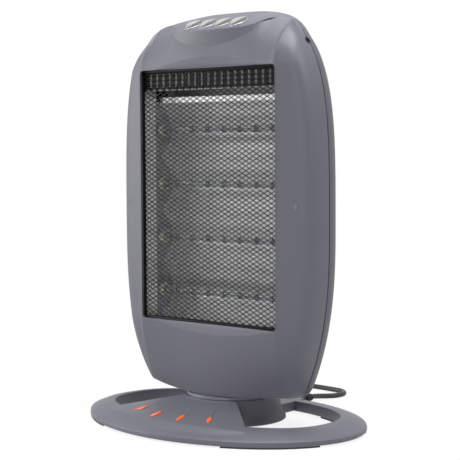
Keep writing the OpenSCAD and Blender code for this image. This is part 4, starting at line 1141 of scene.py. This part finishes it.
def plate_point(s, k):
    """A point of the plate that fans out over the ring: s across it, k from hub (0) to rim (7)."""
    fall = 2.4 * abs(s) ** 3
    a = radians(-90 + FAN_HUB * s)
    hub = Vector(((HUB_R + 1) * cos(a), AXIS_Y + (HUB_R + 1) * sin(a), HUB_TOP - 0.4))
    crest = oval(-90 + FAN_CREST * s, RING_BAND, 0)
    crest.z = FAN_STOPS[0][3] - fall
    if k <= 4:
        return hub.lerp(crest, k / 4)
    n = next(n for n in (1, 2, 3) if k <= FAN_STOPS[n][0])
    (k0, t0, inn0, z0), (_, t1, inn1, z1) = FAN_STOPS[n - 1:n + 1]
    f = k - k0
    p = oval(-90 + mix(FAN_CREST, FAN_RIM, mix(t0, t1, f)) * s, mix(inn0, inn1, f), 0)
    p.z = mix(z0, z1, f) - fall
    # The last stretch runs out onto the ring's own face
    return p.lerp(oval(-90 + FAN_RIM * s, inn1, z1), f) if n == 3 else p


def plate_skirt(name, side):
    """Leaning wall under one edge of the plate, from the hub out to the ring."""
    a, b = plate_point(1, 0), plate_point(1, 4)
    out = Vector((a.y - b.y, b.x - a.x, 0)).normalized()
    rows = []
    for k0, k1 in ((-0.04, 0.035), (1.04, 1.04)):
        p, q = a.lerp(b, k0) - Vector((0, 0, 0.3)), a.lerp(b, k1)
        low = Vector((q.x, q.y, PAD_H)) + out * 7
        rows.append([p, low, low - out * PLATE_T, p - out * PLATE_T])
    rows = [[mirrored(p, side) for p in row] for row in rows]
    return loft(name, rows, caps=True)


INLAY_AT = [(-46.6, -78.4, 18.7), (-16.3, -87.5, 18.3), (16.3, -87.5, 18.3), (46.6, -78.4, 18.7)]


def inlay_frame(x, y, z):
    """An inlay's own frame at a place: y points to the hub, z out of the plate."""
    return (Matrix.Translation((x, y, z)) @ Matrix.Rotation(atan2(y - AXIS_Y, x) + pi / 2, 4, "Z")
            @ Matrix.Rotation(radians(10.5), 4, "X"))


class HEATER_OT_base(bpy.types.Operator):
    """Base moulding: oval ring, fan plate with grooves, hub and rear arm."""

    bl_idname = "heater.base"
    bl_label = "Base moulding"

    def execute(self, context):
        turn = [1.5 * j for j in range(240)]
        ring = loft("base_shell", [[oval(a, inn, z) for a in turn]
                                   for inn, z in RING_SECTION + RING_SECTION[:1]])
        ks = [k / 2 for k in range(8)] + [3.9, 4, 4.15, 4.5, 5, 5.5, 5.85, 6, 6.12, 6.5, 7]
        plate = loft("plate", [[plate_point(j / 30 - 1, k) for j in range(61)] for k in ks],
                     closed=False, out=(0, 0, 1))
        edited(plate, bpy.ops.mesh.extrude_region_move,
               TRANSFORM_OT_translate={"value": (0, 0, -PLATE_T * MM)})
        edited(plate, bpy.ops.mesh.normals_make_consistent, inside=False)
        profile = [(17, HUB_TOP - 3), (HUB_R - 3.4, HUB_TOP - 3), (HUB_R - 1.5, 16), (HUB_R + 1, 7),
                   (HUB_R + 3.6, PAD_H), (HUB_R + 6.2, PAD_H), (HUB_R + 6.1, 3), (HUB_R + 5.6, 4.5),
                   (HUB_R + 3.4, 8), (HUB_R + 1.9, 12), (HUB_R + 0.8, 17), (HUB_R + 0.1, 22),
                   (HUB_R - 0.4, HUB_TOP - 1), (HUB_R - 0.7, HUB_TOP - 0.3), (HUB_R - 1.4, HUB_TOP),
                   (17, HUB_TOP), (17, HUB_TOP - 3)]
        hub = loft("hub", [[(r * cos(radians(3 * k)), AXIS_Y + r * sin(radians(3 * k)), z)
                            for k in range(120)] for r, z in profile])
        carved(hub, block("under_plate", (-33, AXIS_Y - HUB_R - 12, 0),
                          (33, AXIS_Y - 10, HUB_TOP - 3)))
        carved(hub, block("lead_way", (-31.4, AXIS_Y + 20, 0), (31.4, AXIS_Y + 80, 10.2)))
        arm = block("rear_arm", (-34, AXIS_Y + 30, PAD_H), (34, AXIS_Y + 82, RING_H - 2), 1.2, 3)
        carved(arm, block("arm_hollow", (-31.4, AXIS_Y, 0), (31.4, AXIS_Y + 79, 10.2)))
        carved(arm, tube("hub_room", HUB_R + 1.6, 60, (0, AXIS_Y, 0), sides=96))
        base = ring
        for part in (plate, plate_skirt("skirt_r", 1), plate_skirt("skirt_l", -1), hub, arm):
            carved(base, part, "UNION")
        carved(base, tube("sleeve_way", 4.1, 60, (GLAND_X, BASE_D / 2 + 5, CORD_Z), (90, 0, 0)))
        seats, tails = [], []
        for place in INLAY_AT:
            seats.append(moved(loft("seat", [[(x, y, z) for x, y in leaf(17.0, 5.0, 12)]
                                             for z in (-1.2, 6)], caps=True), inlay_frame(*place)))
            # Thin groove that tapers from the inlay up towards the hub
            tail = [[(x * f, y * (0.94 if f < 1 else 1) + 15.5, z) for x, y in leaf(29, 2.0, 12)]
                    for f, z in ((0.12, -0.75), (1, 0.45), (1, 3))]
            tails.append(moved(loft("tail", tail, caps=True), inlay_frame(*place)))
        carved(base, joined(seats, "seats"))
        carved(base, joined(tails, "tails"))
        dressed(softened(base, 24), finish("shell"), "base", "grey_shell", "base_moulding")
        return {"FINISHED"}


class HEATER_OT_inlays(bpy.types.Operator):
    """Orange leaf-shaped inlays in the base."""

    bl_idname = "heater.inlays"
    bl_label = "Inlays"

    def execute(self, context):
        outline = leaf(16.6, 4.6, 14)
        levels = [(1, -1.15), (1, 0.35), (0.95, 0.75), (0.82, 1.1), (0.5, 1.4), (0.02, 1.45)]
        one = loft("inlay", [[(x * f, y * (1 - (1 - f) * 0.6), z) for x, y in outline]
                             for f, z in levels], caps=True)
        parts = [copied(one, "inlays", inlay_frame(*place)) for place in INLAY_AT]
        bpy.data.objects.remove(one)
        dressed(softened(joined(parts, "orange_inlays"), 40), finish("inlay"), "base", "orange_inlay",
                "flame_inlays")
        return {"FINISHED"}


class HEATER_OT_finishes(bpy.types.Operator):
    """Finishes of the CAD pieces that show as they are."""

    bl_idname = "heater.finishes"
    bl_label = "Finishes"

    def execute(self, context):
        for node, key in PLAIN_NODES.items():
            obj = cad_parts[node]
            obj.data.materials.clear()
            obj.data.materials.append(finish(key))
        return {"FINISHED"}


# ---- Stage ----
LIGHTS = [
    # name, place, size, power, colour; all are soft boxes aimed at the heater's middle
    ("left_box", (-2.0, -1.2, 0.75), 1.5, 31, "FFFFFF"),
    ("top_box", (0.15, -0.05, 1.7), 1.0, 30, "FFFFFF"),
    ("right_box", (1.25, 0.3, 1.25), 0.6, 7, "FFFFFF"),
    ("front_box", (0.9, -2.3, 0.7), 1.2, 10, "FFFFFF"),
]


FLOOR_W, LOOK_AT = 14, (0, 0, 0.22)


def seen_ray(tree):
    """1 for rays that the viewer sees straight, mirrored or through quartz, and 0 for light."""
    path = add(tree, "ShaderNodeLightPath").outputs
    straight = add(tree, "ShaderNodeMath", None, {0: path["Is Camera Ray"],
                                                  1: path["Is Glossy Ray"]}, operation="MAXIMUM")
    return add(tree, "ShaderNodeMath", None, {0: straight.outputs[0],
                                              1: path["Is Transmission Ray"]},
               operation="MAXIMUM").outputs[0]


class HEATER_OT_stage(bpy.types.Operator):
    """Plain pale floor, white surroundings and soft boxes."""

    bl_idname = "heater.stage"
    bl_label = "Stage"

    def execute(self, context):
        scene = context.scene
        clear()
        bpy.ops.mesh.primitive_plane_add(size=FLOOR_W, location=(0, 0, -0.0002))
        floor = newest("studio_floor")
        material = bpy.data.materials.new("Pale matt floor")
        material.use_nodes = True
        tree = material.node_tree
        tree.nodes.clear()
        cloth = add(tree, "ShaderNodeBsdfDiffuse", {"Color": linear("EDEDEF")})
        white = add(tree, "ShaderNodeEmission", {"Color": (1, 1, 1, 1), "Strength": 1.0})
        # Away from the heater the floor fades to plain white, so no horizon shows
        away = add(tree, "ShaderNodeVectorMath", None,
                   {0: add(tree, "ShaderNodeTexCoord").outputs["Object"]}, operation="LENGTH")
        plain = add(tree, "ShaderNodeMapRange", {"From Min": 0.16, "From Max": 0.5, "To Min": 0.84},
                    {"Value": away.outputs["Value"]}, interpolation_type="SMOOTHSTEP")
        share = add(tree, "ShaderNodeMath", None, {0: seen_ray(tree), 1: plain.outputs[0]},
                    operation="MULTIPLY")
        mixed = add(tree, "ShaderNodeMixShader", None, {0: share.outputs[0], 1: cloth.outputs[0],
                                                        2: white.outputs[0]})
        add(tree, "ShaderNodeOutputMaterial", None, {"Surface": mixed.outputs[0]})
        floor.data.materials.append(material)
        world = bpy.data.worlds.new("Studio")
        scene.world = world
        world.use_nodes = True
        tree = world.node_tree
        tree.nodes.clear()
        # White where it is seen, and dimmer as a light
        strength = add(tree, "ShaderNodeMapRange", {"To Min": 0.2, "To Max": 1.0},
                       {"Value": seen_ray(tree)})
        ground = add(tree, "ShaderNodeBackground", {"Color": (1, 1, 1, 1)},
                     {"Strength": strength.outputs[0]})
        add(tree, "ShaderNodeOutputWorld", None, {"Surface": ground.outputs[0]})
        for name, place, size, power_w, colour in LIGHTS:
            clear()
            aim = (Vector(place) - Vector(LOOK_AT)).to_track_quat("Z", "Y").to_euler()
            bpy.ops.object.light_add(type="AREA", location=place, rotation=aim)
            lamp = newest(name)
            lamp.data.size, lamp.data.energy = size, power_w
            lamp.data.color = linear(colour)[:3]
        scene.view_settings.view_transform = "Standard"
        return {"FINISHED"}


class HEATER_PT_panel(bpy.types.Panel):
    """Steps of the heater in the sidebar."""

    bl_label = "Halogen heater"
    bl_space_type = "VIEW_3D"
    bl_region_type = "UI"
    bl_category = "Heater"

    def draw(self, context):
        for group in (context.scene.heater_sizes, context.scene.heater_colours):
            for key in group.__annotations__:
                self.layout.prop(group, key)
        for step in STEPS:
            self.layout.operator(step.bl_idname)


STEPS = (HEATER_OT_camera, HEATER_OT_cord, HEATER_OT_front_shell, HEATER_OT_rear_shell,
         HEATER_OT_guard_mesh, HEATER_OT_reflector, HEATER_OT_lamps, HEATER_OT_controls,
         HEATER_OT_base, HEATER_OT_inlays, HEATER_OT_finishes, HEATER_OT_stage)
CLASSES = (HeaterSizes, HeaterColours) + STEPS + (HEATER_PT_panel,)


def register():
    for cls in CLASSES:
        bpy.utils.register_class(cls)
    bpy.types.Scene.heater_sizes = bpy.props.PointerProperty(type=HeaterSizes)
    bpy.types.Scene.heater_colours = bpy.props.PointerProperty(type=HeaterColours)


def unregister():
    del bpy.types.Scene.heater_sizes
    del bpy.types.Scene.heater_colours
    for cls in reversed(CLASSES):
        bpy.utils.unregister_class(cls)


def main():
    register()
    for step in STEPS:
        group, name = step.bl_idname.split(".")
        getattr(getattr(bpy.ops, group), name)()
    bpy.context.view_layer.update()


if __name__ == "__main__":
    main()
